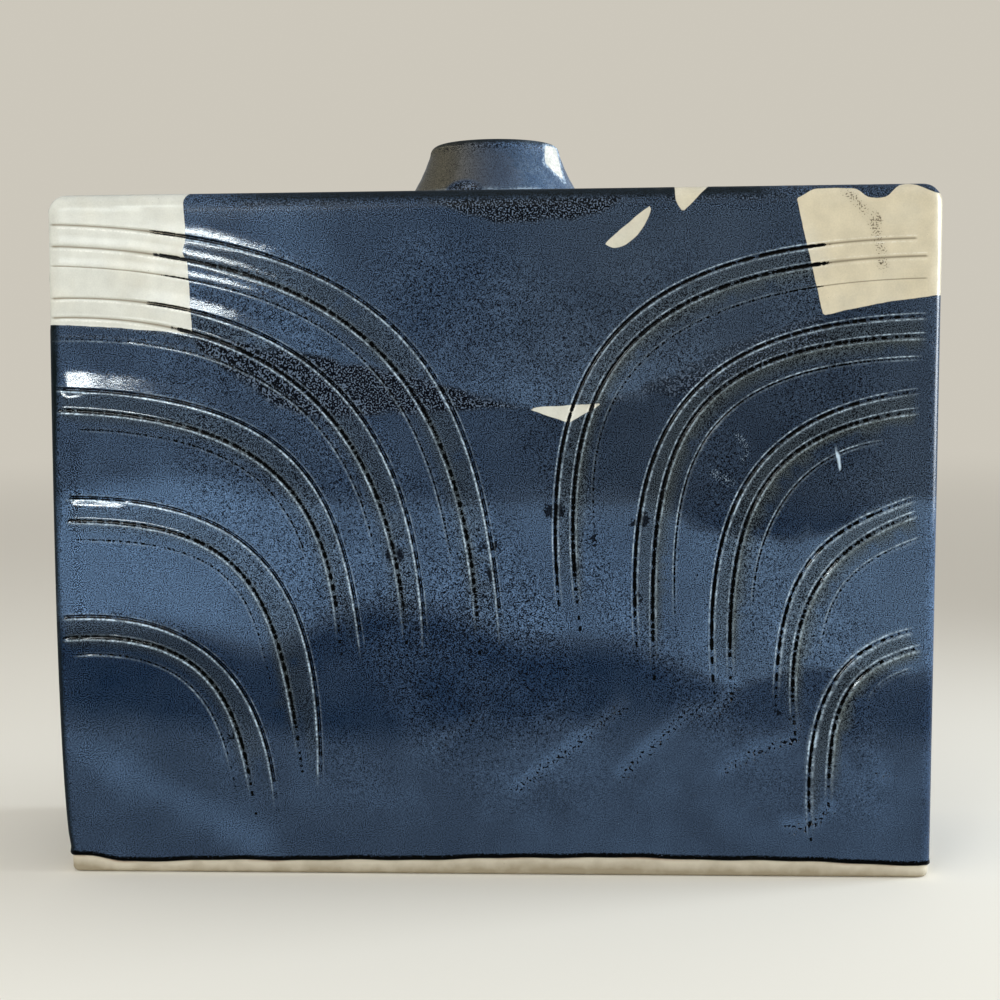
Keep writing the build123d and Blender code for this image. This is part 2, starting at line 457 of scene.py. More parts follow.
# In the cream corners a stroke starts as a scratch: ease is how long it takes to reach its full depth,
# and ink is where along x the pooled black begins in each groove. rise is how far the clay swells above
# the first tooth, settles where along the stroke it sinks again, third how heavy the third tooth is,
# dots how strongly its black breaks up, and olive how much the glaze thins to olive beside the teeth.
# shelves are raised steps above a tooth (reach and height), and press is how deeply a thumb smoothed the
# clay below the first tooth, and where along the stroke that ends. soft widens the pale lines.
leftStrokes = [
    {"fall": 0.04, "ease": 30, "rise": 0.15, "settles": (36, 66), "ink": (-79.6, -79, -76.6),
     "dots": 1.6, "shelves": {1: (2.9, 0.118), 2: (2.5, 0.125)},
     "grooves": ((-101.5, 153.5, 2.5, 54, 0.8, 0.65, 0.06),
                 (-101.5, 148.5, -3, 56, 0.76, 0.64, 0.05),
                 (-101.5, 144, -8.5, 71, 0.79, 0.58, 0.15))},
    {"fall": -0.01, "ease": 28, "rise": 0.3, "settles": (36, 56), "ink": (-81, -74.6, -101),
     "shelves": {2: (1.5, 0.085)},
     "grooves": ((-101.5, 136.5, -15.5, 52.5, 0.77, 0.6, 0.01),
                 (-101.5, 132, -20, 56, 0.73, 0.59, 0.05),
                 (-101, 127, -26.5, 74, 0.74, 0.53, 0.16))},
    {"fall": 0.03, "rise": 0.58, "settles": (11, 30), "third": 0.4, "dots": 1.6,
     "shelves": {0: (5.4, 0)}, "press": (0.24, 8, 4),
     "grooves": ((-101.5, 115.5, -30, 51, 0.82, 0.65, 0.1),
                 (-101.5, 110.5, -35.5, 56, 0.77, 0.63, 0.06),
                 (-97, 106, -41, 69.5, 0.84, 0.44, 0.32))},
    {"fall": 0.0, "rise": 0.12, "third": 0.6, "dots": 2.5, "press": (0.33, 20, 11),
     "grooves": ((-100, 90, -41, 19.5, 0.77, 0.74, -0.05),
                 (-100, 84.5, -45.5, 28, 0.78, 0.75, 0.11),
                 (-98, 80, -52.5, 48, 0.82, 0.64, 0.19))},
    {"fall": -0.08, "rise": 0.16,
     "grooves": ((-101.5, 61.5, -51.5, 15, 0.77, 0.55, 0.02),
                 (-101.5, 56.5, -57, 17.5, 0.84, 0.56, 0.12),
                 (-99, 52.5, -61.5, 22.5, 0.83, 0.45, 0.17))},
]
rightStrokes = [
    {"fall": 0.01, "ease": 24, "third": 0.25, "ink": (78.3, 78.6, 77.6), "dots": 2.5,
     "grooves": ((97.5, 148, 16, 62.5, 0.86, 0.67, -0.1),
                 (100, 144, 20.5, 61, 0.88, 0.68, -0.12),
                 (100, 139, 24.5, 79, 0.84, 0.6, -0.12))},
    {"fall": 0.02, "dots": 0.9, "olive": 1.1,
     "grooves": ((100, 130.5, 34, 53.5, 0.85, 0.67, -0.07),
                 (100, 126, 38, 49.5, 0.92, 0.7, -0.04),
                 (99, 121, 43, 60, 0.88, 0.67, -0.05))},
    {"fall": 0.11, "dots": 0.9, "olive": 1.2,
     "grooves": ((98.5, 113.5, 52, 45, 0.78, 0.65, -0.08),
                 (98.5, 109, 56, 45.5, 0.84, 0.66, -0.05),
                 (90.5, 102, 61, 61, 0.81, 0.37, -0.05))},
    {"fall": 0.35, "third": 0.7, "olive": 1.4, "soft": 1.4, "tailRun": 3.4,
     "grooves": ((98, 89, 66.5, 41.5, 0.67, 0.7, 0.0),
                 (98.5, 85.5, 71, 35, 0.73, 0.61, -0.11),
                 (100, 80, 76.5, 51, 0.61, 0.65, 0.07))},
    {"fall": 0.25, "room": 2.2, "third": 0.6, "olive": 1.6, "soft": 1.8, "tailRun": 1.8,
     "grooves": ((98, 58.5, 75, 9, 0.74, 0.68, -0.09),
                 (100, 54.5, 79, 17, 0.94, 0.57, 0.0),
                 (98.5, 49.5, 88, 40.5, 0.67, 0.4, 0.0))},
]


def groovePath(stroke, tooth, side):
    # The groove's cubic curve, cut into even steps and run on a little beyond its tail. Gives the
    # points, how far along each lies, and how far along the tooth lifts off.
    startX, startZ, tailX, tailZ, out, up, lean = stroke["grooves"][tooth]
    start = np.array([startX, startZ])
    tail = np.array([tailX, tailZ])
    first = start + out * abs(tailX - startX) * np.array([side, -stroke["fall"]])
    second = tail + up * (startZ - tailZ) * np.array([-side * lean, 1.0])
    t = np.linspace(0, 1, 400)[:, None]    # fine enough to measure its length
    s = 1 - t
    curve = s ** 3 * start + 3 * s ** 2 * t * first + 3 * s * t ** 2 * second + t ** 3 * tail
    length = np.concatenate([[0], np.cumsum(np.hypot(*np.diff(curve, axis=0).T))])
    even = spread(0, length[-1], comb["rowStep"])
    path = np.stack([np.interp(even, length, curve[:, k]) for k in (0, 1)], axis=1)
    beyond = np.arange(comb["rowStep"], stroke.get("tailRun", comb["tailRun"]), comb["rowStep"])
    way = (path[-1] - path[-2]) / np.hypot(*(path[-1] - path[-2]))
    path = np.vstack([path, path[-1] + beyond[:, None] * way])
    tail = even[-1]
    even = np.concatenate([even, tail + beyond])
    if "ease" in stroke and side > 0:
        head = comb["headRun"]
        path = np.vstack([path[:1] - head * (path[1] - path[0]) / np.hypot(*(path[1] - path[0])), path])
        even = np.concatenate([[0], even + head])
        tail = tail + head
    return path, even, tail


def grooveColumns(stroke, tooth, even):
    # Places across a groove, in mm from its middle to the inner side: close together in the groove and
    # further apart beside it. There is a row for each step, because a shelf widens along the stroke.
    half = comb["toothWidth"][tooth]
    edge = half + comb["edgeBeyond"]
    brim = edge + comb["brimBeyond"]
    near = np.array([0.2 * half, 0.45 * half, 0.85 * half, half + 0.03, edge, edge + 0.12, brim])
    far = min(comb["outerMargin"][tooth], stroke.get("room", comb["openRoom"]))
    shelf, shelfRise = stroke.get("shelves", {}).get(tooth, (far, 0))
    reach = far + (shelf - far) * smoothStep(75, 50, even)[:, None]
    outer = brim + spread(0, 1, comb["columnStep"] / (max(far, shelf) - brim))[1:] * (reach - brim)
    pressed = tooth == 0 and "press" in stroke
    inner = spread(brim, comb["pressMargin"] if pressed else comb["innerMargin"][tooth], 0.5)[1:]
    fixed = np.concatenate([-near[::-1], [0], near, inner])
    return np.hstack([-outer[:, ::-1], np.tile(fixed, (len(even), 1))]), reach, shelfRise


def grooveWear(stroke, tooth, side, path, even, tail, seed):
    # How a groove changes along its path, from 0 to 1: where it begins, where it marks the clay, how
    # deep it is (fade), how black its glaze is (ink) and how much that breaks up. drift wanders about 0.
    onLeft = side > 0
    rng = np.random.default_rng(seed)
    knots = np.arange(0, even[-1] + 1.5 * comb["driftStep"], comb["driftStep"])
    drift = np.interp(even, knots, rng.normal(0, 1, len(knots)))
    ease = stroke.get("ease", 0)
    scratch = 0.25 + 0.75 * smoothStep(0.55 * ease, ease + 0.1, even)    # a quarter as deep at first
    begin = smoothStep(0, 0.6 if ease else comb["fadeIn"], even)
    mark = begin * smoothStep(0, comb["fadeOut"], tail - even)
    ink = np.ones_like(even)
    beading = comb["beading" if onLeft else "beadingRight"][tooth] * np.ones_like(even)
    if tooth < 2:
        early = 0.0 if onLeft else 0.5 * smoothStep(70, 40, even)
        beading = beading + (0.35 if onLeft else 0.1) * smoothStep(60, 110, even) + early
        beading = beading + (1.2 - beading) * smoothStep(14, 0, tail - even)    # worn at the tail
    else:
        beading = beading * 0 + stroke.get("dots", beading[0])
    if not onLeft and not ease:
        ink = 0.3 + 0.7 * smoothStep(3, 20, even)    # a light hand leaves less black at first
    if "ink" in stroke:
        fromInk = side * (path[:, 0] - stroke["ink"][tooth])
        ink = smoothStep(-1, 4.5, fromInk)
        beading = beading * (1 - 0.75 * swell(fromInk, 3, 9))    # whole where the black begins
    return {"drift": drift, "begin": begin, "mark": mark, "fade": scratch * mark, "ink": ink,
            "beading": beading}


def grooveLift(stroke, tooth, hand, across, reach, shelfRise, even, wear):
    # Height of the clay across a groove: a rounded trough, beside it clay that rises towards its outer
    # edge, and clay that is pressed down on its inner side. Gives the trough's shape (core) too.
    half = comb["toothWidth"][tooth]
    drift, fade = wear["drift"], wear["fade"]
    third = stroke.get("third", 1) if tooth == 2 else 1
    depth = comb["toothDepth"][tooth] * hand * third * (1 + 0.18 * drift) * fade
    core = np.clip(1 - (across / half) ** 2, 0, 1) ** 1.5
    if shelfRise:
        swollen = wear["mark"] * shelfRise
    else:
        swollen = (stroke.get("rise", 0.07) if tooth == 0 else comb["rise"][tooth] * hand) * fade
    settled = smoothStep(*stroke.get("settles", (30, 60)), even)
    swollen = swollen * (1 - 0.45 * settled) * (1 + 0.06 * drift)
    way = np.clip((across + reach) / (reach - half), 0, 1)
    if shelfRise:
        ramp = way - np.sin(2 * np.pi * way) / (2 * np.pi)    # a step with soft ends
    elif swollen.max() > 0.2:
        ramp = (np.sqrt(way ** 2 + 0.04) - 0.2) / 0.82        # an even slope with a soft start
    else:
        ramp = way ** 2
    below = np.clip(across - half, 0, 9)
    sunk = (fade * (1 + 0.25 * drift))[:, None] * (comb["bevel"][tooth] * hand * np.exp(-below / 0.45))
    if tooth == 0 and "press" in stroke:
        press, pressEnd, pressFull = stroke["press"]
        thumb = fade * smoothStep(pressEnd, pressFull, even)
        sunk = sunk + press * thumb[:, None] * swell(below, 0, 1.3)
    beside = np.where(across < 0, swollen[:, None] * ramp, -sunk)
    beside = beside + (-sunk - beside) * smoothStep(-half, half, across)
    return -depth[:, None] * core + beside * (1 - core), core


def grooveStrip(stroke, tooth, side, seed):
    # A groove's cross section carried along its path: grid of sheet points, lift and fields.
    path, even, tail = groovePath(stroke, tooth, side)
    tangent = np.gradient(path, axis=0)
    tangent /= np.hypot(*tangent.T)[:, None]
    inward = side * np.stack([tangent[:, 1], -tangent[:, 0]], axis=1)
    across, reach, shelfRise = grooveColumns(stroke, tooth, even)
    grid = path[:, None, :] + inward[:, None, :] * across[:, :, None]
    onLeft = side > 0
    hand = 1 if onLeft else comb["lightHand"]
    wear = grooveWear(stroke, tooth, side, path, even, tail, seed)
    lift, core = grooveLift(stroke, tooth, hand, across, reach, shelfRise, even, wear)

    # The glaze breaks pale on both edges of the groove, and on the inner edge of the left grooves the
    # pale line is also a painted highlight. Between the teeth the glaze is thin and olive.
    half = comb["toothWidth"][tooth]
    edge = half + comb["edgeBeyond"]
    third = stroke.get("third", 1) if tooth == 2 else 1
    innerPale = comb["innerPale" if onLeft else "innerPaleRight"][tooth] * third
    outerPale = comb["outerPale" if onLeft else "outerPaleRight"][tooth] * third
    soft = stroke.get("soft", 1)
    pale = innerPale * swell(across, edge + 0.02, 0.17 * soft)
    pale = pale + outerPale * swell(across, -edge, 0.11 * soft)
    greenAt, greenSpread = (0.2, 0.8) if onLeft else (half + 0.25, 0.45)
    between = (smoothStep(0, half, across),
               1 + 1.6 * swell(across, greenAt, greenSpread),
               0.5 * smoothStep(-1.6, -half, across) * (1 - smoothStep(0, half, across)))[tooth]
    mark, fade, ink = wear["mark"], wear["fade"], wear["ink"]
    brightness = 0.5 + 0.5 * ink if onLeft or "ease" in stroke else 1.4 - 0.4 * ink

    # Black lies in the groove and runs on in dots. In the first tooth on the left it parts in two.
    dotted = 0.4 * wear["begin"] * smoothStep(0, 2, even[-1] - even)
    pooled = np.maximum(np.clip(fade * 1.6, 0, 1), dotted)
    twin = 1 - 0.95 * swell(across, 0, 0.13) if onLeft and tooth == 0 else 1.0
    run = even / comb["beadLength"][tooth] + 37.0 * seed    # far apart for each groove
    fields = {
        # in the cream a groove is darkened brown, by pooled glaze and by painted shade
        "scratch": mark[:, None] * core ** 3,
        "pool": (ink * pooled)[:, None] * core * twin,
        "crest": (mark ** 0.7 * brightness * (1 + 0.2 * wear["drift"]))[:, None] * pale,
        "thin": stroke.get("olive", 1) * fade[:, None] * between,
        "run": np.broadcast_to(run[:, None], lift.shape),
        "bead": np.broadcast_to(wear["beading"][:, None], lift.shape),
    }
    return grid, lift, fields


def sheetPoint(u, v, lift, face):
    # Sheet millimetres (u across, v up) to a point: flat, and rolled round the sponged edges.
    # The core is a rectangle. The sheet is flat round it as far as the upper corners are rounded, and
    # what is left of a point's way from the core becomes an angle round the edge.
    radius = body["edgeRound"]
    corner = body["cornerRound"] - radius
    coreU = body["halfWidth"] - radius - corner
    coreV = body["height"] - radius - corner
    nearU = np.clip(u, -coreU, coreU)
    nearV = np.minimum(v, coreV)
    fromCoreU, fromCoreV = u - nearU, v - nearV
    fromCore = np.maximum(np.hypot(fromCoreU, fromCoreV), 1e-9)
    flat = np.minimum(fromCore, corner)
    angle = (fromCore - flat) / radius
    out = flat + np.sin(angle) * (radius + lift)
    x = nearU + fromCoreU / fromCore * out
    z = nearV + fromCoreV / fromCore * out
    y = face * (body["halfDepth"] - radius + np.cos(angle) * (radius + lift))
    wide = halfWidthAt(z) + np.where(u < 0, endBow(z), 0)
    return np.stack([x * wide / body["halfWidth"], y, z], axis=1)


def acrossSheet(flatU, reach, step):
    # Places across a sheet: close together on the two rolled edges, a step apart on the flat between.
    return np.concatenate([spread(-flatU - reach, -flatU, reach / 6), spread(-flatU, flatU, step)[1:-1],
                           spread(flatU, flatU + reach, reach / 6)])


def sheetOutline(step):
    # Outline of the unrolled sheet, from the lower left corner round to the right.
    radius = body["edgeRound"]
    corner = body["cornerRound"] - radius
    reach = radius * np.pi / 2
    flatU = body["halfWidth"] - radius
    flatV = body["height"] - radius
    low = body["wall"]
    turn = np.linspace(0, np.pi / 2, 11)[1:-1]
    us = acrossSheet(flatU, reach, step)
    vs = spread(low, flatV - corner, step)
    bottom = np.stack([us, np.full_like(us, low)], axis=1)
    right = np.stack([np.full_like(vs, flatU + reach), vs], axis=1)[1:]
    rightTurn = np.stack([flatU - corner + (corner + reach) * np.cos(turn),
                          flatV - corner + (corner + reach) * np.sin(turn)], axis=1)
    flatTop = spread(flatU - corner, corner - flatU, step)
    top = np.stack([flatTop, np.full_like(flatTop, flatV + reach)], axis=1)
    leftTurn = rightTurn[::-1] * np.array([-1, 1])
    left = np.stack([np.full_like(vs, -flatU - reach), vs[::-1]], axis=1)[:-1]
    return np.vstack([bottom, right, rightTurn, top, leftTurn, left]), us, vs, reach


def latticeIn(outline, us, vs, reach, patches):
    # Points between the outline and the strokes: a loose lattice, and finer ones over small details.
    flatV = body["height"] - body["edgeRound"]
    flatU = body["halfWidth"] - body["edgeRound"]
    rows = np.concatenate([vs[1:], [flatV - 0.5, flatV], flatV + reach * np.arange(1, 6) / 6])
    columns = np.concatenate([us[1:-1], [0.5 - flatU, flatU - 0.5]])
    points = np.stack(np.meshgrid(columns, rows), axis=-1).reshape(-1, 2)
    for x0, x1, z0, z1, step in patches:
        away = (points[:, 0] < x0 - step) | (points[:, 0] > x1 + step)
        away |= (points[:, 1] < z0 - step) | (points[:, 1] > z1 + step)
        fine = np.stack(np.meshgrid(spread(x0, x1, step), spread(z0, z1, step)), axis=-1).reshape(-1, 2)
        points = np.vstack([points[away], fine])
    return points[insidePolygon(points, outline) & (gapTo(points, outline) > body["edgeGap"])]


def gapTo(points, line):
    # Distance from each point to the nearest point of a line, in blocks to save memory.
    blocks = [np.hypot(part[:, :1] - line[:, 0], part[:, 1:] - line[:, 1]).min(axis=1)
              for part in np.array_split(points, max(1, len(points) // 800))]
    return np.concatenate(blocks)


def makeFace(name, face, node, strips, patches, material, seed):
    # A broad face: an unrolled sheet of groove strips with triangles between them, lifted by the combing
    # and the slow waves of the slab, rolled round its edges, and closed behind with a flat back.
    outline, us, vs, reach = sheetOutline(body["meshStep"])
    lattice = latticeIn(outline, us, vs, reach, patches)
    loops, gridFaces = [], []
    parts, lifts = [], []
    fields = {field: [] for field in ("scratch", "pool", "crest", "thin", "run", "bead")}
    count = 0
    for grid, lift, stripFields in strips:
        rows, columns = grid.shape[:2]
        numbers = count + np.arange(rows * columns).reshape(rows, columns)
        ring = gridRim(numbers)
        a, b, c = grid[0, 0], grid[0, 1], grid[1, 0]
        turnsLeft = (b[0] - a[0]) * (c[1] - a[1]) - (b[1] - a[1]) * (c[0] - a[0]) > 0
        gridFaces.append(gridQuads(numbers)[:, :: 1 if turnsLeft else -1])
        rim = grid.reshape(-1, 2)[ring - count]
        lattice = lattice[~insidePolygon(lattice, rim)]
        lattice = lattice[gapTo(lattice, rim) > body["rimGap"]]
        loops.append(ring)
        parts.append(grid.reshape(-1, 2))
        lifts.append(lift.ravel())
        for field, values in stripFields.items():
            fields[field].append(np.asarray(values).ravel())
        count += rows * columns
    outlineNumbers = count + np.arange(len(outline))
    loops.append(outlineNumbers)
    parts += [outline, lattice]
    plain = len(outline) + len(lattice)
    lifts.append(np.zeros(plain))
    sheet = np.vstack(parts)
    # Of the strips, only the rims take part in the triangles.
    used = np.unique(np.concatenate(loops + [np.arange(count, count + plain)]))
    short = np.full(len(sheet), -1)
    short[used] = np.arange(len(used))
    triangles = triangulate(sheet[used], [short[loop].tolist() for loop in loops], short[outlineNumbers],
                            [short[hole] for hole in loops[:-1]])
    triangles = used[triangles]
    u, v = sheet.T
    flatU, flatV = body["halfWidth"] - body["edgeRound"], body["height"] - body["edgeRound"]
    fromEdge = np.minimum(np.minimum(flatU - np.abs(u), v - body["wall"]), flatV - v)
    swellLift = unevenness(u, v, seed) * smoothStep(0, 22, fromEdge)
    points = sheetPoint(u, v, np.concatenate(lifts) + swellLift, face)
    rim = points[outlineNumbers]
    behindY = face * (body["halfDepth"] - body["wall"])
    inner = np.stack([rim[:, 0], np.full(len(rim), behindY), rim[:, 2]], axis=1)
    points, walls = closeBehind(points, outlineNumbers, inner)
    allFaces = [quads.tolist() for quads in gridFaces] + [triangles.tolist(), walls]
    faces = [list(corner) for group in allFaces for corner in group]
    if face > 0:
        faces = [corner[::-1] for corner in faces]
    extra = len(points) - count
    fields = {field: np.concatenate(values + [np.zeros(extra)]) for field, values in fields.items()}
    fields.update(glazeFields(points))
    # Between the teeth the thin glaze is darker and more speckled.
    fields["tone"] = fields["tone"] - 0.1 * np.minimum(fields["thin"], 1.5)
    fields["speckle"] = fields["speckle"] + 0.2 * np.minimum(fields["thin"], 1)
    return makePiece(name, points, faces, fields, node, material)


def makeEnd(name, side, node, material, seed):
    # A narrow end wall: grid over depth and height, leaning, and bowed on the left.
    reach = body["halfDepth"] - body["wall"]
    ys = spread(-reach, reach, body["meshStep"])
    zs = spread(body["wall"], body["height"] - body["wall"], body["meshStep"])
    y, z = np.meshgrid(ys, zs)
    fromEdge = np.minimum(reach - np.abs(y), np.minimum(z - zs[0], zs[-1] - z))
    lift = unevenness(y, z, seed) * smoothStep(0, 16, fromEdge)
    bow = endBow(z) if side < 0 else 0
    x = side * (halfWidthAt(z) + bow + lift)
    points = np.stack([x, y, z], axis=-1).reshape(-1, 3)
    rows, columns = z.shape
    numbers = np.arange(rows * columns).reshape(rows, columns)
    loop = gridRim(numbers)
    rim = points[loop]
    inner = np.stack([side * (halfWidthAt(rim[:, 2]) - body["wall"]), rim[:, 1], rim[:, 2]], axis=1)
    points, walls = closeBehind(points, loop, inner)
    faces = gridQuads(numbers).tolist() + walls
    if side < 0:
        faces = [corner[::-1] for corner in faces]
    around = points.copy()
    around[:, 0] += side * (reach - np.abs(points[:, 1]))    # the areas run on round the corner
    return makePiece(name, points, faces, glazeFields(around), node, material)


shoulder = {
    "hole": 15.5,              # radius, as wide as the neck inside
    "holeCorners": 96,
    "gathered": 26.0,          # thick dark glaze round the foot of the neck, this far out
}


def makeShoulder(name, node, material):
    # The top strip between the faces: flat, rolled over at both ends, with the hole under the neck.
    radius = body["cornerRound"]
    reach = radius * np.pi / 2
    flatU = body["halfWidth"] - radius
    half = body["halfDepth"] - body["wall"]
    us = acrossSheet(flatU, reach, body["meshStep"])
    ys = spread(-half, half, body["meshStep"])
    outline = np.vstack([
        np.stack([us, np.full_like(us, -half)], axis=1)[:-1],
        np.stack([np.full_like(ys, us[-1]), ys], axis=1)[:-1],
        np.stack([us[::-1], np.full_like(us, half)], axis=1)[:-1],
        np.stack([np.full_like(ys, us[0]), ys[::-1]], axis=1)[:-1],
    ])
    turn = np.linspace(0, 2 * np.pi, shoulder["holeCorners"], endpoint=False)
    hole = shoulder["hole"] * np.stack([np.cos(turn), np.sin(turn)], axis=1)
    lattice = np.stack(np.meshgrid(us[1:-1], ys[1:-1]), axis=-1).reshape(-1, 2)
    lattice = lattice[np.hypot(*lattice.T) > shoulder["hole"] + 1]
    sheet = np.vstack([outline, hole, lattice])
    outlineNumbers = np.arange(len(outline))
    holeNumbers = len(outline) + np.arange(len(hole))
    loops = [outlineNumbers.tolist(), holeNumbers.tolist()]
    triangles = triangulate(sheet, loops, outlineNumbers, [holeNumbers])
    u, y = sheet.T
    near = np.clip(u, -flatU, flatU)
    angle = np.abs(u - near) / radius
    z = body["height"] - radius + radius * np.cos(angle)
    x = (near + np.sign(u) * radius * np.sin(angle)) * halfWidthAt(z) / body["halfWidth"]
    top = np.stack([x, y, z], axis=1)
    under = np.stack([x, y, np.full_like(x, body["height"] - body["wall"])], axis=1)
    count = len(sheet)
    faces = triangles.tolist() + (triangles[:, ::-1] + count).tolist()
    for loop in (outlineNumbers, holeNumbers[::-1]):
        following = np.roll(loop, -1)
        faces += np.stack([following, loop, loop + count, following + count], axis=1).tolist()
    points = np.vstack([top, under])
    fields = glazeFields(points)
    fromNeck = np.hypot(points[:, 0], points[:, 1]) - shoulder["gathered"]
    fields["overlap"] = np.maximum(fields["overlap"], -fromNeck)
    return makePiece(name, points, faces, fields, node, material)


foot = {
    "glazeLine": 3.3,          # height where the wiped foot ends, in the middle
    "wipeWave": 0.35,          # how far that line wanders
    "bareInset": 0.42,         # the glaze stands this far proud of the bare clay
    "rollProud": 0.16,         # thick roll at the edge of the glaze
    "step": 1.5,               # between mesh points round the foot
}


def makeFoot(name, node, material):
    # The base slab: a cross section carried round a rectangle with rounded corners.
    radius = body["edgeRound"]
    halfWidth = halfWidthAt(body["wall"] / 2)    # at mid height: above and below it leans with the ends
    sideX = halfWidth - radius
    sideY = body["halfDepth"] - radius
    turn = np.linspace(0, np.pi / 2, 9)
    corners = [(sideX, -sideY, -np.pi / 2), (sideX, sideY, 0),
               (-sideX, sideY, np.pi / 2), (-sideX, -sideY, np.pi)]
    path, normal = [], []
    for k, (cx, cy, first) in enumerate(corners):
        out = np.stack([np.cos(first + turn), np.sin(first + turn)], axis=1)
        arc = np.array([cx, cy]) + radius * out
        nx, ny, nextFirst = corners[(k + 1) % 4]
        nextOut = np.array([np.cos(nextFirst), np.sin(nextFirst)])
        goal = np.array([nx, ny]) + radius * nextOut
        straight = goal - arc[-1]
        way = spread(0, np.hypot(*straight), foot["step"]) / np.hypot(*straight)
        path.append(np.vstack([arc, arc[-1] + way[1:-1, None] * straight]))
        normal.append(np.vstack([out, np.repeat(out[-1:], len(way) - 2, axis=0)]))
    path, normal = np.vstack(path), np.vstack(normal)
    along = np.linspace(0, 2 * np.pi, len(path), endpoint=False)
    wander = np.sin(7 * along + 1) + 0.6 * np.sin(17 * along + 2) + 0.4 * np.sin(41 * along)
    px = path[:, 0]
    line = foot["glazeLine"] - 0.5 * (px / 100) ** 2 + foot["wipeWave"] * wander / 2
    line = line + smoothStep(-50, 15, px) * smoothStep(97, 75, px)    # wiped higher on the right
    line = line + 1.3 * smoothStep(-88, -97, px)                      # and at the left corner
    inset, proud = foot["bareInset"], foot["rollProud"]
    # Height above the table (or from the glaze line), and how far out, from the underside to the wall.
    low = [(0.0, -1.35), (0.12, -0.95), (0.45, -inset - 0.2), (1.0, -inset - 0.05)]
    rolled = [(-0.55, -inset), (-0.18, -inset), (-0.05, -0.22), (0.12, 0.0), (0.4, proud),
              (0.8, proud * 0.7), (1.5, 0.0)]
    heights = [np.full_like(line, z) for z, _ in low] + [line + z for z, _ in rolled]
    heights += [np.full_like(line, body["wall"])]
    outs = [out for _, out in low + rolled] + [0.0]
    poolRows = [0, 0, 0, 0, 0, 0, 1, 1, 0.9, 0.4, 0, 0]    # black under the roll of glaze
    z = np.array(heights)
    flat = path[None] + normal[None] * np.array(outs)[:, None, None]
    x = flat[:, :, 0] + np.sign(flat[:, :, 0]) * (halfWidthAt(z) - halfWidth)
    points = np.stack([x, flat[:, :, 1], z], axis=-1).reshape(-1, 3)
    rows, columns = z.shape
    numbers = np.arange(rows * columns).reshape(rows, columns)
    quads = gridQuads(np.pad(numbers, ((0, 0), (0, 1)), mode="wrap"))    # closed round the foot
    faces = quads.tolist() + [numbers[0, ::-1].tolist(), numbers[-1].tolist()]
    fields = glazeFields(points)
    fields["bare"] = (line[None] - 0.1 - z).ravel()
    fields["pool"] = np.repeat(np.array(poolRows, dtype=float), columns)
    return makePiece(name, points, faces, fields, node, material)


neck = {
    "footRadius": 21.5,
    "rimRadius": 15.8,
    "mouthRadius": 11.5,
    "throatRadius": 15.5,
    "height": 13.5,
    "lipHeight": 2.2,
    "hollow": 0.5,
    "glazeCove": 1.4,          # glaze pooled in the corner at the foot
    "throwingMarks": 0.02,
    "marksPitch": 2.6,
    "oval": 0.12,              # how far out of round
    "dropProud": 0.9,          # drop of glaze at the foot
    "dropTurn": 1.41 * np.pi,
    "barePatch": (12.4, 169.8),
    "corners": 180,            # mesh points round the axis
}


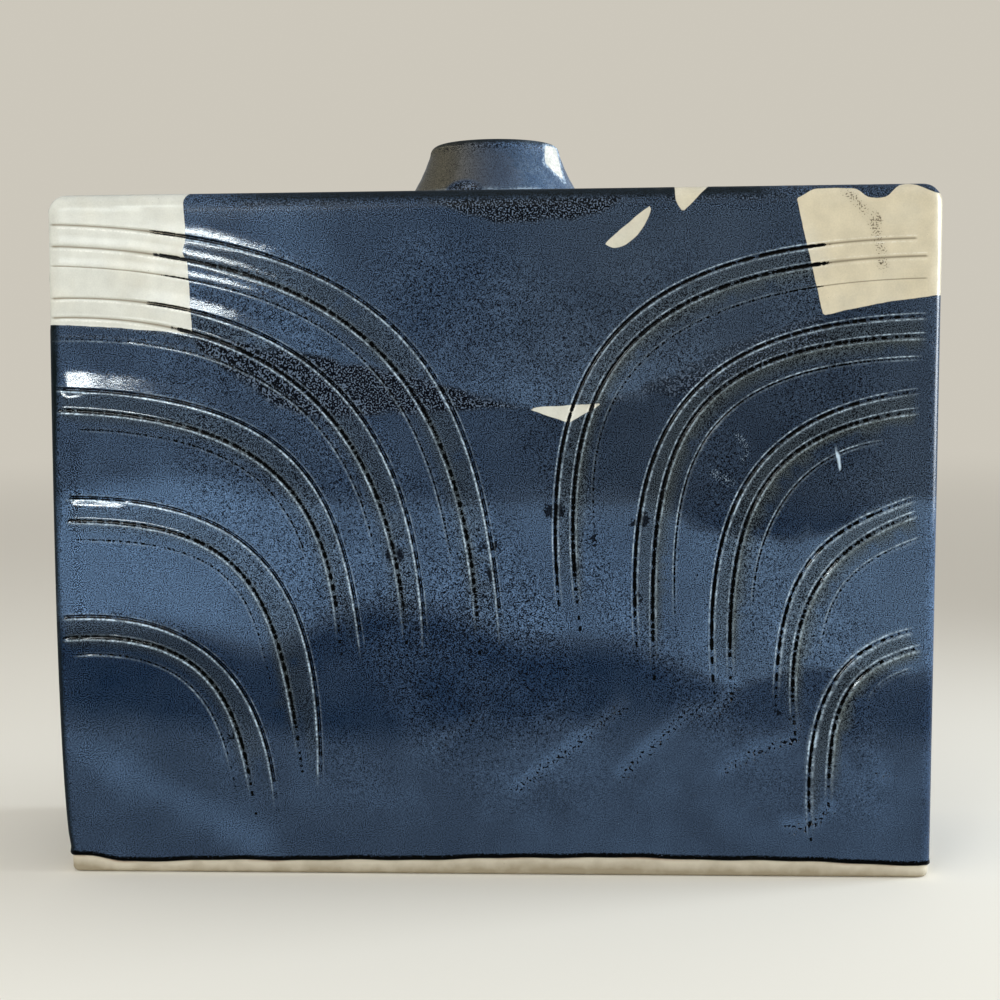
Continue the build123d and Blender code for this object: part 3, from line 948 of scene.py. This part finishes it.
def makeNeck(name, node, material):
    # A thrown neck: its cross section turned round the upright axis.
    low = body["height"]
    lipLow = low + neck["height"] - neck["lipHeight"]
    t = np.concatenate([np.linspace(0, 0.12, 7), np.linspace(0.12, 1, 24)[1:]])
    sideZ = low + t * (lipLow - low)
    sideR = neck["footRadius"] + t * (neck["rimRadius"] - neck["footRadius"])
    sideR = sideR - neck["hollow"] * np.sin(np.pi * t)
    sideR = sideR + neck["glazeCove"] * np.clip(1 - (sideZ - low) / 1.9, 0, 1) ** 2.4
    turn = np.linspace(0, np.pi, 17)[1:]
    middle = (neck["rimRadius"] + neck["mouthRadius"]) / 2
    lipR = middle + (neck["rimRadius"] - neck["mouthRadius"]) / 2 * np.cos(turn)
    lipZ = lipLow + neck["lipHeight"] * np.sin(turn)
    s = np.linspace(0, 1, 12)[1:]
    insideR = neck["mouthRadius"] + s * (neck["throatRadius"] - neck["mouthRadius"])
    insideZ = lipLow + s * (low - lipLow)
    r = np.concatenate([sideR, lipR, insideR])[:, None]
    z = np.concatenate([sideZ, lipZ, insideZ])[:, None]
    angle = np.linspace(0, 2 * np.pi, neck["corners"], endpoint=False)[None, :]
    above = smoothStep(low + 0.5, low + 3, z)
    outer = (np.arange(len(r)) < len(sideR))[:, None]
    spiral = (z + 0.9 * np.sin(angle)) / neck["marksPitch"]
    marks = neck["throwingMarks"] * np.sin(2 * np.pi * spiral) * above * outer
    oval = neck["oval"] * np.cos(2 * angle + 0.7) * above
    drop = neck["dropProud"] * swell(angle, neck["dropTurn"], 0.09) * swell(z, low + 1.6, 1.3) * outer
    radius = r + marks + oval + drop
    x, y = radius * np.cos(angle), radius * np.sin(angle)
    points = np.stack([x, y, np.broadcast_to(z, x.shape)], axis=-1).reshape(-1, 3)
    rows, columns = x.shape
    numbers = np.arange(rows * columns).reshape(rows, columns)
    quads = gridQuads(np.pad(numbers, 1, mode="wrap")[1:, 1:])    # closed round the axis and the section
    px, py, pz = points.T
    # A bare patch with straight sides on the right, and a dark run of glaze at the foot
    cx, cz = neck["barePatch"]
    patch = softMin(px - cx, halfPlane(px, pz, (cx - 0.2, cz - 1.3), (cx + 3.8, cz - 4.7)), 0.5)
    patch = softMin(patch, halfPlane(px, pz, (cx + 4.5, cz - 4.6), (cx + 3.1, cz + 2.2)), 0.3)
    patch = softMin(patch, cz + 3.3 - pz, 0.6)
    patch = np.where(py < 3.5, patch, -3)
    runnel = np.where(py < 0, 2.9 - np.hypot((px + 6.2) / 1.5, (pz - low - 0.2) / 1.05), -5)
    clear = smoothStep(0.1, -0.6, runnel)    # 0 under the run
    paleFoot = 0.6 * smoothStep(low + 1.9, low + 0.4, pz) * clear
    darkLip = 0.8 * smoothStep(low + 9.5, low + 12.5, pz)
    fields = {
        "cream": patch,
        "overlap": runnel,
        "tone": 0.5 + 0.32 * smoothStep(0, 15, px),
        "speckle": 0.08 + darkLip + 0.2 * smoothStep(low + 3, low, pz),
        "thin": 5.4 * smoothStep(3, -13, px) * clear,
        "brown": np.ones_like(px),
        "crest": np.where(patch > -0.4, 1.2, 0) + 0.17 * smoothStep(2, 14, px) + paleFoot,
        "rim": 0.85 * smoothStep(low + 11.9, low + 13.0, pz),
        "matt": smoothStep(low + 9, low + 12, pz),
    }
    return makePiece(name, points, quads.tolist(), fields, node, material)


glaze = {
    # Blue from dark to pale; the dark and the pale ends also paint the reflections across the dips
    "navyAndDarkReflection": "#12233A",
    "blue": "#334257",
    "paleBlueAndReflection": "#4E6583",
    "speck": "#060B14",
    "overlapDark": "#03060D",
    "overlapLight": "#5C6B80",
    "thin": "#4E534A",
    "thinBrown": "#534F43",
    "pool": "#020303",
    # dark rims: painted shade round the left edge, and darker along the top roll and the lip of the neck
    "edgeDarkAndShade": "#0E1618",
    # pale break of the glaze on the groove edges, also a painted highlight on the inner edges on the
    # left; the scuff and the dust
    "crest": "#BED4E8",
    "cream": "#D4D5CD",
    # warmer, darker cream on the right, partly painted shade
    "creamWarm": "#D6CCB3",
    # painted highlight along the scratches in the cream
    "creamPaintedHighlight": "#F6F5EE",
    # brown of pooled glaze in the cream's scratches, with painted shade; also the smudges of the crumbs
    "scratch": "#7F745F",
    "crumb": "#5A4E3C",
    "bare": "#CFC7B5",
    # darker clay, in random clouds, and as painted shade towards the bottom of the foot
    "bareShade": "#A0957F",
    "toast": "#8A4A1E",
    "grain": 0.25,             # size of the speckle in mm
    "doubleGrain": 0.38,       # and where two pours overlap
    "pitGrain": 0.6,
    "wander": 5,               # length over which the edges of a pour wander
    "clouds": 14,              # size of the lighter and darker clouds in the blue
    "edgeWobble": 0.3,         # how far the edges wander
    # Roughness and specular level of the glossy blue, the matt blue, the cream and the bare clay
    "rough": (0.09, 0.4, 0.25, 0.85),
    "sheen": (0.5, 0.12, 0.3, 0.15),
    # Relief in mm
    "pourStep": 0.06,          # a pour stands this far above the cream
    "grainRelief": 0.009,
    "orangePeel": 0.045,
    "pitDepth": 0.15,
}


# In the node calls below, Map Range carries the value at 0 from the range 1 to 2 over to the range 3
# to 4. Mix takes its part at 0, and two colours at 6 and 7, or two numbers at 2 and 3.
def makeGlaze():
    # Poured stoneware glaze: a deep glossy blue full of fine dark iron specks, that breaks pale on every
    # raised edge, pools black in the combing and leaves clear cream where no blue was poured. Painted
    # light in its colour: reflections across the dips, a highlight on the inner edges of the left
    # grooves and along the cream's scratches, and shade round the left edge, in the scratches, on the
    # right of the cream and towards the bottom of the foot.
    material = bpy.data.materials.new("pouredBlueStonewareGlaze")
    material.use_nodes = True
    tree = material.node_tree
    tree.nodes.clear()
    output = tree.nodes.new("ShaderNodeOutputMaterial")
    field = {name: addNode(tree, "Attribute", out=2, attribute_name=name)
             for name in groundFields}
    place = addNode(tree, "TexCoord", out=3)
    mm = addNode(tree, "VectorMath", {0: place, 3: 1000.0}, operation="SCALE")
    colour = {key: hexColour(value) for key, value in glaze.items() if isinstance(value, str)}

    # Noises: speckle grain, clouds in the tone, wander of the edges, larger pits
    fine = addNode(tree, "TexNoise", {"Vector": mm, "Scale": 1 / glaze["grain"], "Detail": 0.0})
    cloud = addNode(tree, "TexNoise", {"Vector": mm, "Scale": 1 / glaze["clouds"], "Detail": 4.0})
    drift = addNode(tree, "TexNoise", {"Vector": mm, "Scale": 1 / glaze["wander"], "Detail": 3.0})
    coarse = addNode(tree, "TexNoise", {"Vector": mm, "Scale": 1 / glaze["doubleGrain"], "Detail": 0.0})
    pitNoise = addNode(tree, "TexNoise", {"Vector": mm, "Scale": 1 / glaze["pitGrain"], "Detail": 0.0})
    wobble = addNode(tree, "Math", {0: drift, 1: 0.5}, operation="SUBTRACT")
    wobble = addNode(tree, "Math", {0: wobble, 1: 2 * glaze["edgeWobble"]}, operation="MULTIPLY")

    # Inside the cream areas and the overlaps, with edges that wander
    creamDistance = addNode(tree, "Math", {0: field["cream"], 1: wobble}, operation="ADD")
    inCream = addNode(tree, "MapRange", {0: creamDistance, 1: -0.1, 2: 0.1},
                      interpolation_type="SMOOTHSTEP")
    overlapDistance = addNode(tree, "Math", {0: field["overlap"], 1: wobble}, operation="ADD")
    inOverlap = addNode(tree, "MapRange", {0: overlapDistance, 1: -0.5, 2: 0.9},
                        interpolation_type="SMOOTHSTEP")

    # Blue from navy to pale, with the painted reflections of the dips, greyer where the comb left the
    # glaze thin
    cloudShift = addNode(tree, "MapRange", {0: cloud, 1: 0.3, 2: 0.7, 3: -0.1, 4: 0.1})
    tone = addNode(tree, "Math", {0: field["tone"], 1: cloudShift}, operation="ADD")
    lower = addNode(tree, "MapRange", {0: tone, 1: 0.0, 2: 0.5})
    upper = addNode(tree, "MapRange", {0: tone, 1: 0.5, 2: 1.0})
    blue = addNode(tree, "Mix", {0: lower, 6: colour["navyAndDarkReflection"], 7: colour["blue"]}, 2, data_type="RGBA")
    blue = addNode(tree, "Mix", {0: upper, 6: blue, 7: colour["paleBlueAndReflection"]}, 2, data_type="RGBA")
    thin = addNode(tree, "Math", {0: field["thin"], 1: 0.18}, operation="MULTIPLY")
    thin = addNode(tree, "Math", {0: field["dull"], 1: 0.2, 2: thin}, operation="MULTIPLY_ADD",
                   use_clamp=True)
    thinColour = addNode(tree, "Mix", {0: field["brown"], 6: colour["thin"], 7: colour["thinBrown"]}, 2,
                         data_type="RGBA")
    blue = addNode(tree, "Mix", {0: thin, 6: blue, 7: thinColour}, 2, data_type="RGBA")

    # Fine grain in the blue, with dark specks
    grainDepth = addNode(tree, "MapRange", {0: field["speckle"], 1: 0.0, 2: 1.0, 3: 0.45, 4: 2.2})
    grain = addNode(tree, "MapRange", {0: fine, 1: 0.2, 2: 0.8, 3: 1.0, 4: -1.0})
    grain = addNode(tree, "Math", {0: grain, 1: grainDepth, 2: 1.0}, operation="MULTIPLY_ADD")
    grained = addNode(tree, "VectorMath", {0: blue, 3: grain}, operation="SCALE")
    start = addNode(tree, "MapRange", {0: field["speckle"], 1: 0.0, 2: 1.0, 3: 0.78, 4: 0.45})
    stop = addNode(tree, "Math", {0: start, 1: 0.1}, operation="ADD")
    speck = addNode(tree, "MapRange", {0: fine, 1: start, 2: stop})
    speckled = addNode(tree, "Mix", {0: speck, 6: grained, 7: colour["speck"]}, 2, data_type="RGBA")

    # Overlaps: nearly black, with paler grains
    grains = addNode(tree, "MapRange", {0: coarse, 1: 0.48, 2: 0.35})
    double = addNode(tree, "Mix", {0: grains, 6: colour["overlapDark"], 7: colour["overlapLight"]}, 2,
                     data_type="RGBA")
    speckled = addNode(tree, "Mix", {0: inOverlap, 6: speckled, 7: double}, 2, data_type="RGBA")

    # Cream, whiter on the left and warmer and darker on the right, partly as painted shade, with the
    # comb's scratches, brown from pooled glaze and from painted shade in them
    creamMix = addNode(tree, "Math", {0: cloudShift, 1: 2.2, 2: field["warm"]},
                       operation="MULTIPLY_ADD", use_clamp=True)
    cream = addNode(tree, "Mix", {0: creamMix, 6: colour["cream"], 7: colour["creamWarm"]}, 2,
                    data_type="RGBA")
    mottle = addNode(tree, "MapRange", {0: drift, 1: 0.3, 2: 0.7, 3: 0.9, 4: 1.06})
    mottle = addNode(tree, "Math", {0: coarse, 1: 0.12, 2: mottle}, operation="MULTIPLY_ADD")
    mottle = addNode(tree, "Math", {0: mottle, 1: 0.06}, operation="SUBTRACT")
    cream = addNode(tree, "VectorMath", {0: cream, 3: mottle}, operation="SCALE")
    scratch = addNode(tree, "MapRange", {0: field["scratch"], 1: 0.1, 2: 0.9, 3: 0.0, 4: 0.8})
    cream = addNode(tree, "Mix", {0: scratch, 6: cream, 7: colour["scratch"]}, 2, data_type="RGBA")
    layers = [(inCream, cream)]

    # Pits along the streaks, and crumbs of iron in the cream
    pitLevel = addNode(tree, "MapRange", {0: field["pits"], 3: 0.82, 4: 0.53})
    pitStop = addNode(tree, "Math", {0: pitLevel, 1: 0.04}, operation="ADD")
    pit = addNode(tree, "MapRange", {0: pitNoise, 1: pitLevel, 2: pitStop})
    pit = addNode(tree, "MapRange", {0: inCream, 3: pit, 4: 0.0})
    layers.append((pit, colour["speck"]))
    crumbPatch = addNode(tree, "MapRange", {0: drift, 1: 0.32, 2: 0.52})
    crumbLevel = addNode(tree, "Math", {0: field["crumbs"], 1: crumbPatch}, operation="MULTIPLY")
    smudge = addNode(tree, "MapRange", {0: crumbLevel, 1: 0.1, 2: 0.9, 3: 0.0, 4: 0.14})
    smudge = addNode(tree, "Math", {0: smudge, 1: inCream}, operation="MULTIPLY")
    layers.append((smudge, colour["scratch"]))
    crumbLevel = addNode(tree, "MapRange", {0: crumbLevel, 3: 0.84, 4: 0.48})
    crumb = addNode(tree, "Math", {0: coarse, 1: crumbLevel}, operation="SUBTRACT")
    crumb = addNode(tree, "MapRange", {0: crumb, 1: 0.0, 2: 0.12, 3: 0.0, 4: 0.75})
    crumb = addNode(tree, "Math", {0: crumb, 1: inCream}, operation="MULTIPLY")
    layers.append((crumb, colour["crumb"]))

    # Dark blots at the ends of the combing, and the darkened rims: painted shade round the left edge,
    # and darker along the top roll and the lip of the neck
    ragged = addNode(tree, "MapRange", {0: pitNoise, 1: 0.2, 2: 0.8, 3: -0.7, 4: 0.7})
    blotEdge = addNode(tree, "Math", {0: ragged, 1: field["blot"]}, operation="ADD")
    blot = addNode(tree, "MapRange", {0: blotEdge, 1: 0.0, 2: 0.5, 3: 0.0, 4: 0.92},
                   interpolation_type="SMOOTHSTEP")
    blotColour = addNode(tree, "Mix", {0: inCream, 6: colour["speck"], 7: colour["crumb"]}, 2,
                         data_type="RGBA")
    layers.append((blot, blotColour))
    rim = addNode(tree, "MapRange", {0: inCream, 3: field["rim"], 4: 0.0})
    layers.append((rim, colour["edgeDarkAndShade"]))

    # Pale line on the raised edges, broken by the grain: the glaze breaking pale, and a painted
    # highlight on the inner edges on the left and along the scratches in the cream
    crestBreak = addNode(tree, "MapRange", {0: drift, 1: 0.35, 2: 0.6, 3: 0.35, 4: 1.0})
    crestGrain = addNode(tree, "MapRange", {0: pitNoise, 1: 0.38, 2: 0.58, 3: 1.1, 4: 0.3})
    crest = addNode(tree, "Math", {0: field["crest"], 1: crestBreak}, operation="MULTIPLY")
    crest = addNode(tree, "Math", {0: crest, 1: crestGrain}, operation="MULTIPLY", use_clamp=True)
    crestColour = addNode(tree, "Mix", {0: inCream, 6: colour["crest"], 7: colour["creamPaintedHighlight"]}, 2,
                          data_type="RGBA")
    layers.append((crest, crestColour))

    # Black pooled in the grooves, in beads where the tooth was light
    gaps = addNode(tree, "TexNoise", {"W": field["run"], "Scale": 1.0, "Detail": 1.0},
                   noise_dimensions="1D")
    gaps = addNode(tree, "MapRange", {0: gaps, 1: 0.42, 2: 0.7})
    gaps = addNode(tree, "Math", {0: gaps, 1: field["bead"]}, operation="MULTIPLY")
    pool = addNode(tree, "Math", {0: field["pool"], 1: gaps}, operation="SUBTRACT")
    ragged = addNode(tree, "MapRange", {0: fine, 3: -0.8, 4: 0.8})
    ragged = addNode(tree, "Math", {0: ragged, 1: field["pool"]}, operation="MULTIPLY")
    pool = addNode(tree, "Math", {0: pool, 1: ragged}, operation="ADD")
    pool = addNode(tree, "MapRange", {0: pool, 1: 0.1, 2: 0.28}, interpolation_type="SMOOTHSTEP")
    layers.append((pool, colour["pool"]))

    # A pale scuff and smears of dust
    scuffEdge = addNode(tree, "Math", {0: field["scuff"], 1: wobble}, operation="ADD")
    scuff = addNode(tree, "MapRange", {0: scuffEdge, 1: 0.0, 2: 0.3})
    dustLevel = addNode(tree, "MapRange", {0: field["dust"], 3: 0.15, 4: 0.45})
    dust = addNode(tree, "Math", {0: dustLevel, 1: fine}, operation="SUBTRACT")
    dust = addNode(tree, "MapRange", {0: dust, 1: 0.0, 2: 0.1, 3: 0.0, 4: 0.4})
    scuff = addNode(tree, "Math", {0: scuff, 1: dust}, operation="MAXIMUM")
    layers.append((scuff, colour["crest"]))

    # Bare clay at the wiped foot, in two shades, darker towards the bottom as painted shade, and toasted
    # along the edge of the glaze
    bare = addNode(tree, "MapRange", {0: field["bare"], 1: -0.05, 2: 0.1})
    clayMix = addNode(tree, "MapRange", {0: drift, 1: 0.35, 2: 0.65, 3: -0.2, 4: 0.3})
    paintedFootShade = addNode(tree, "MapRange", {0: field["bare"], 1: 0.6, 2: 3.0})
    clayMix = addNode(tree, "Math", {0: clayMix, 1: paintedFootShade}, operation="ADD", use_clamp=True)
    clay = addNode(tree, "Mix", {0: clayMix, 6: colour["bare"], 7: colour["bareShade"]}, 2,
                   data_type="RGBA")
    toastBreak = addNode(tree, "MapRange", {0: cloud, 1: 0.5, 2: 0.65})
    toast = addNode(tree, "MapRange", {0: field["bare"], 1: 0.5, 2: 0.05, 3: 0.0, 4: 0.7})
    toast = addNode(tree, "Math", {0: toast, 1: toastBreak}, operation="MULTIPLY")
    clay = addNode(tree, "Mix", {0: toast, 6: clay, 7: colour["toast"]}, 2, data_type="RGBA")
    layers.append((bare, clay))

    # The layers, each mixed over the ones before it
    ground = speckled
    for part, over in layers:
        ground = addNode(tree, "Mix", {0: part, 6: ground, 7: over}, 2, data_type="RGBA")

    # Gloss and relief: a soft orange peel, fine grain, and a step down into the cream
    finish = {}
    for look in ("rough", "sheen"):
        glossy, matt, inTheCream, onTheClay = glaze[look]
        ofBlue = addNode(tree, "MapRange", {0: field["matt"], 3: glossy, 4: matt})
        ofGlaze = addNode(tree, "MapRange", {0: inCream, 3: ofBlue, 4: inTheCream})
        finish[look] = addNode(tree, "Mix", {0: bare, 2: ofGlaze, 3: onTheClay})
    height = addNode(tree, "MapRange", {0: creamDistance, 1: 0.7, 2: -0.9, 3: 0.0, 4: glaze["pourStep"]},
                     interpolation_type="SMOOTHSTEP")
    for bump, size in ((fine, "grainRelief"), (drift, "orangePeel")):
        height = addNode(tree, "Math", {0: bump, 1: glaze[size], 2: height}, operation="MULTIPLY_ADD")
    height = addNode(tree, "Math", {0: pit, 1: -glaze["pitDepth"], 2: height}, operation="MULTIPLY_ADD")
    relief = addNode(tree, "Bump", {"Height": height, "Distance": 0.001, "Strength": 1.0})
    shader = addNode(tree, "BsdfPrincipled", {"Base Color": ground, "Roughness": finish["rough"],
                                              "Specular IOR Level": finish["sheen"], "Normal": relief})
    tree.links.new(shader, output.inputs["Surface"])
    return material


clayLook = {
    "bare": "#CDBFA6",
    "shade": "#AE9C80",
    "clouds": 6,               # size of the two shades in mm
    "grit": 0.5,
    "relief": 0.0003,          # metres
    "rough": 0.85,
    "sheen": 0.2,
}


def makeBareClay():
    # Bare fired stoneware: dull and warm, in two shades of clay, and a little gritty.
    material = bpy.data.materials.new("bareStonewareClay")
    material.use_nodes = True
    tree = material.node_tree
    tree.nodes.clear()
    output = tree.nodes.new("ShaderNodeOutputMaterial")
    place = addNode(tree, "TexCoord", out=3)
    mm = addNode(tree, "VectorMath", {0: place, 3: 1000.0}, operation="SCALE")
    cloud = addNode(tree, "TexNoise", {"Vector": mm, "Scale": 1 / clayLook["clouds"], "Detail": 4.0})
    grit = addNode(tree, "TexNoise", {"Vector": mm, "Scale": 1 / clayLook["grit"], "Detail": 2.0})
    blend = addNode(tree, "MapRange", {0: cloud, 1: 0.3, 2: 0.7})
    tint = addNode(tree, "Mix", {0: blend, 6: hexColour(clayLook["bare"]),
                                 7: hexColour(clayLook["shade"])}, 2, data_type="RGBA")
    height = addNode(tree, "Math", {0: cloud, 1: 0.5, 2: grit}, operation="MULTIPLY_ADD")
    relief = addNode(tree, "Bump", {"Height": height, "Distance": clayLook["relief"], "Strength": 0.5})
    shader = addNode(tree, "BsdfPrincipled", {"Base Color": tint, "Roughness": clayLook["rough"],
                                              "Specular IOR Level": clayLook["sheen"], "Normal": relief})
    tree.links.new(shader, output.inputs["Surface"])
    return material


# Finer mesh over the small marks of the front: range of x, range of z, and step
finePatches = [
    (24, 41, 145, 159, 0.6),      # leaf
    (41, 52, 152, 162, 0.6),      # notch
    (66, 102, 153, 162, 0.8),     # scalloped lip
    (5, 28, 104, 113, 0.8),       # where the dips meet
    (3, 56, 18, 44, 1.3),         # pits
    (-17, 0, 27, 41, 1.3),
    (56, 73, 23, 34, 1.3),
    (75, 84, 93, 105, 0.7),       # scuff
    (50, 61, 91, 106, 1.0),       # dust
    (-5, 3, 69, 81, 0.8),         # blots
    (-26, -19, 74, 79, 0.8),
    (11, 26, 71, 89, 0.8),
    (31, 38, 64, 87, 0.8),
    (-65, -59, 30, 36, 0.8),
    (66, 83, 10, 17, 0.9),        # pits and blot at the lower right
]

blueGlaze = makeGlaze()
bareClay = makeBareClay()
print("materials made")
strips = []
for side, strokes, firstSeed in ((1, leftStrokes, 0), (-1, rightStrokes, 20)):
    for number, stroke in enumerate(strokes):
        for tooth in range(3):
            strips.append(grooveStrip(stroke, tooth, side, firstSeed + 3 * number + tooth))
print(len(strips), "grooves combed")
makeFace("combedFront", -1, "front_slab", strips, finePatches, blueGlaze, seed=3)
makeFace("plainBack", 1, "back_slab", [], [], blueGlaze, seed=8)
makeEnd("leftEnd", -1, "left_side_slab", blueGlaze, seed=5)
makeEnd("rightEnd", 1, "right_side_slab", blueGlaze, seed=6)
makeShoulder("shoulderTop", "shoulder_slab", blueGlaze)
makeFoot("wipedFoot", "base_slab", blueGlaze)
makeNeck("thrownNeck", "neck_collar", blueGlaze)
for nodeName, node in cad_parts.items():    # the seam coils keep their own meshes
    if nodeName.endswith("_coil"):
        node.data.materials.clear()
        node.data.materials.append(bareClay)
print("pieces made")

studio = {
    "floor": "#EAE6DC",
    "floorReach": 6.0,         # metres
    "ambient": 0.6,            # soft light from all round
    "backdrop": 0.8,           # how bright the wall behind is
    "mirrored": 0.05,          # how bright the room in front is in the gloss
    "behind": 0.35,            # and behind
    "tint": "#F6F4F0",
    "mirrorTint": "#E6EEF6",
}


def wallColour():
    # The floor's colour in the tinted light of the room.
    return (np.array(hexColour(studio["floor"])) * np.array(hexColour(studio["tint"]))).tolist()


def makeFloor():
    # Plain pale floor that melts into the backdrop far from the vase.
    reach = studio["floorReach"]
    mesh = bpy.data.meshes.new("floor")
    corners = [(-reach, -reach, 0), (reach, -reach, 0), (reach, reach, 0), (-reach, reach, 0)]
    mesh.from_pydata(corners, [], [(0, 1, 2, 3)])
    material = bpy.data.materials.new("paleFloor")
    material.use_nodes = True
    tree = material.node_tree
    tree.nodes.clear()
    place = addNode(tree, "TexCoord", out=3)
    away = addNode(tree, "VectorMath", {0: place}, 1, operation="LENGTH")
    melt = addNode(tree, "MapRange", {0: away, 1: 0.35, 2: 2.2}, interpolation_type="SMOOTHSTEP")
    matt = addNode(tree, "BsdfDiffuse", {0: hexColour(studio["floor"])})
    wall = addNode(tree, "Emission", {0: wallColour(), 1: studio["backdrop"]})
    blend = addNode(tree, "MixShader", {0: melt, 1: matt, 2: wall})
    tree.links.new(blend, tree.nodes.new("ShaderNodeOutputMaterial").inputs["Surface"])
    mesh.materials.append(material)
    floor = bpy.data.objects.new("floor", mesh)
    bpy.context.scene.collection.objects.link(floor)
    floor.visible_glossy = False


# Places and targets in mm, sizes in metres, power in watts. The key doesn't show in the gloss, and a
# narrow spread, in degrees, keeps the fill off the floor beside it.
lights = {
    "window": {"place": (-300, -800, 345), "target": (-40, -30, 100), "size": (0.24, 0.045),
               "power": 1.5, "colour": "#EDF6F8"},
    "key": {"place": (-520, -750, 480), "target": (0, 0, 80), "size": (0.6, 0.6),
            "power": 2.2, "colour": "#FFFCF5", "inGloss": False},
    "overhead": {"place": (-100, -250, 800), "target": (0, 0, 80), "size": (0.9, 0.6),
                 "power": 0.8, "colour": "#FFFFFF"},
    "rightFill": {"place": (650, 40, 220), "target": (100, -10, 90), "size": (0.3, 0.36),
                  "power": 1.35, "colour": "#DFE8F0", "spread": 80},
}


def makeLight(name, settings):
    # An area light at its place, facing its target.
    data = bpy.data.lights.new(name, "AREA")
    data.shape = "RECTANGLE"
    data.size, data.size_y = settings["size"]
    data.energy = settings["power"]
    data.color = hexColour(settings["colour"])[:3]
    data.spread = math.radians(settings.get("spread", 180))
    light = bpy.data.objects.new(name, data)
    bpy.context.scene.collection.objects.link(light)
    place = Vector(settings["place"])
    light.location = place * 0.001
    way = (Vector(settings["target"]) - place).normalized()
    light.rotation_euler = way.to_track_quat("-Z", "Y").to_euler()
    light.visible_glossy = settings.get("inGloss", True)


def makeRoom():
    # Soft light from all round. In the gloss the room is dim in front of the vase and bright behind it.
    world = bpy.data.worlds.new("studio")
    bpy.context.scene.world = world
    world.use_nodes = True
    tree = world.node_tree
    tree.nodes.clear()
    toCamera = addNode(tree, "LightPath", out=0)
    toGloss = addNode(tree, "LightPath", out=3)
    direction = addNode(tree, "TexCoord", out=0)
    rightward = addNode(tree, "SeparateXYZ", {0: direction}, 0)
    backward = addNode(tree, "SeparateXYZ", {0: direction}, 1)
    behind = addNode(tree, "MapRange", {0: backward, 1: 0.0, 2: 0.5, 3: 0.0, 4: studio["behind"]})
    sided = addNode(tree, "MapRange", {0: rightward, 1: -0.6, 2: 0.3, 3: 0.3, 4: 1.0})
    mirror = addNode(tree, "Math", {0: behind, 1: sided, 2: studio["mirrored"]},
                     operation="MULTIPLY_ADD")
    ambient = addNode(tree, "Background", {0: hexColour(studio["tint"]), 1: studio["ambient"]})
    mirrored = addNode(tree, "Background", {0: hexColour(studio["mirrorTint"]), 1: mirror})
    shown = addNode(tree, "Background", {0: wallColour(), 1: studio["backdrop"]})
    room = addNode(tree, "MixShader", {0: toGloss, 1: ambient, 2: mirrored})
    room = addNode(tree, "MixShader", {0: toCamera, 1: room, 2: shown})
    tree.links.new(room, tree.nodes.new("ShaderNodeOutputWorld").inputs["Surface"])


# In mm and degrees
view = {"place": (21.0, -399.7, 117.1), "pitch": -4.347, "yaw": -2.922, "roll": -0.46, "lens": 57.6}


def makeCamera():
    # Level, then turned by yaw, pitch and roll.
    data = bpy.data.cameras.new("camera")
    data.lens = view["lens"]
    data.sensor_width = 36.0
    data.clip_start = 0.01
    camera = bpy.data.objects.new("camera", data)
    bpy.context.scene.collection.objects.link(camera)
    turned = Matrix.Rotation(math.radians(-view["yaw"]), 4, "Z")
    turned = turned @ Matrix.Rotation(math.radians(90 + view["pitch"]), 4, "X")
    turned = turned @ Matrix.Rotation(math.radians(view["roll"]), 4, "Z")
    camera.matrix_world = Matrix.Translation(Vector(view["place"]) * 0.001) @ turned
    bpy.context.scene.camera = camera


makeFloor()
for name, settings in lights.items():
    makeLight(name, settings)
makeRoom()
makeCamera()
bpy.context.scene.view_settings.view_transform = "Standard"
print("floor, lights, room and camera placed")
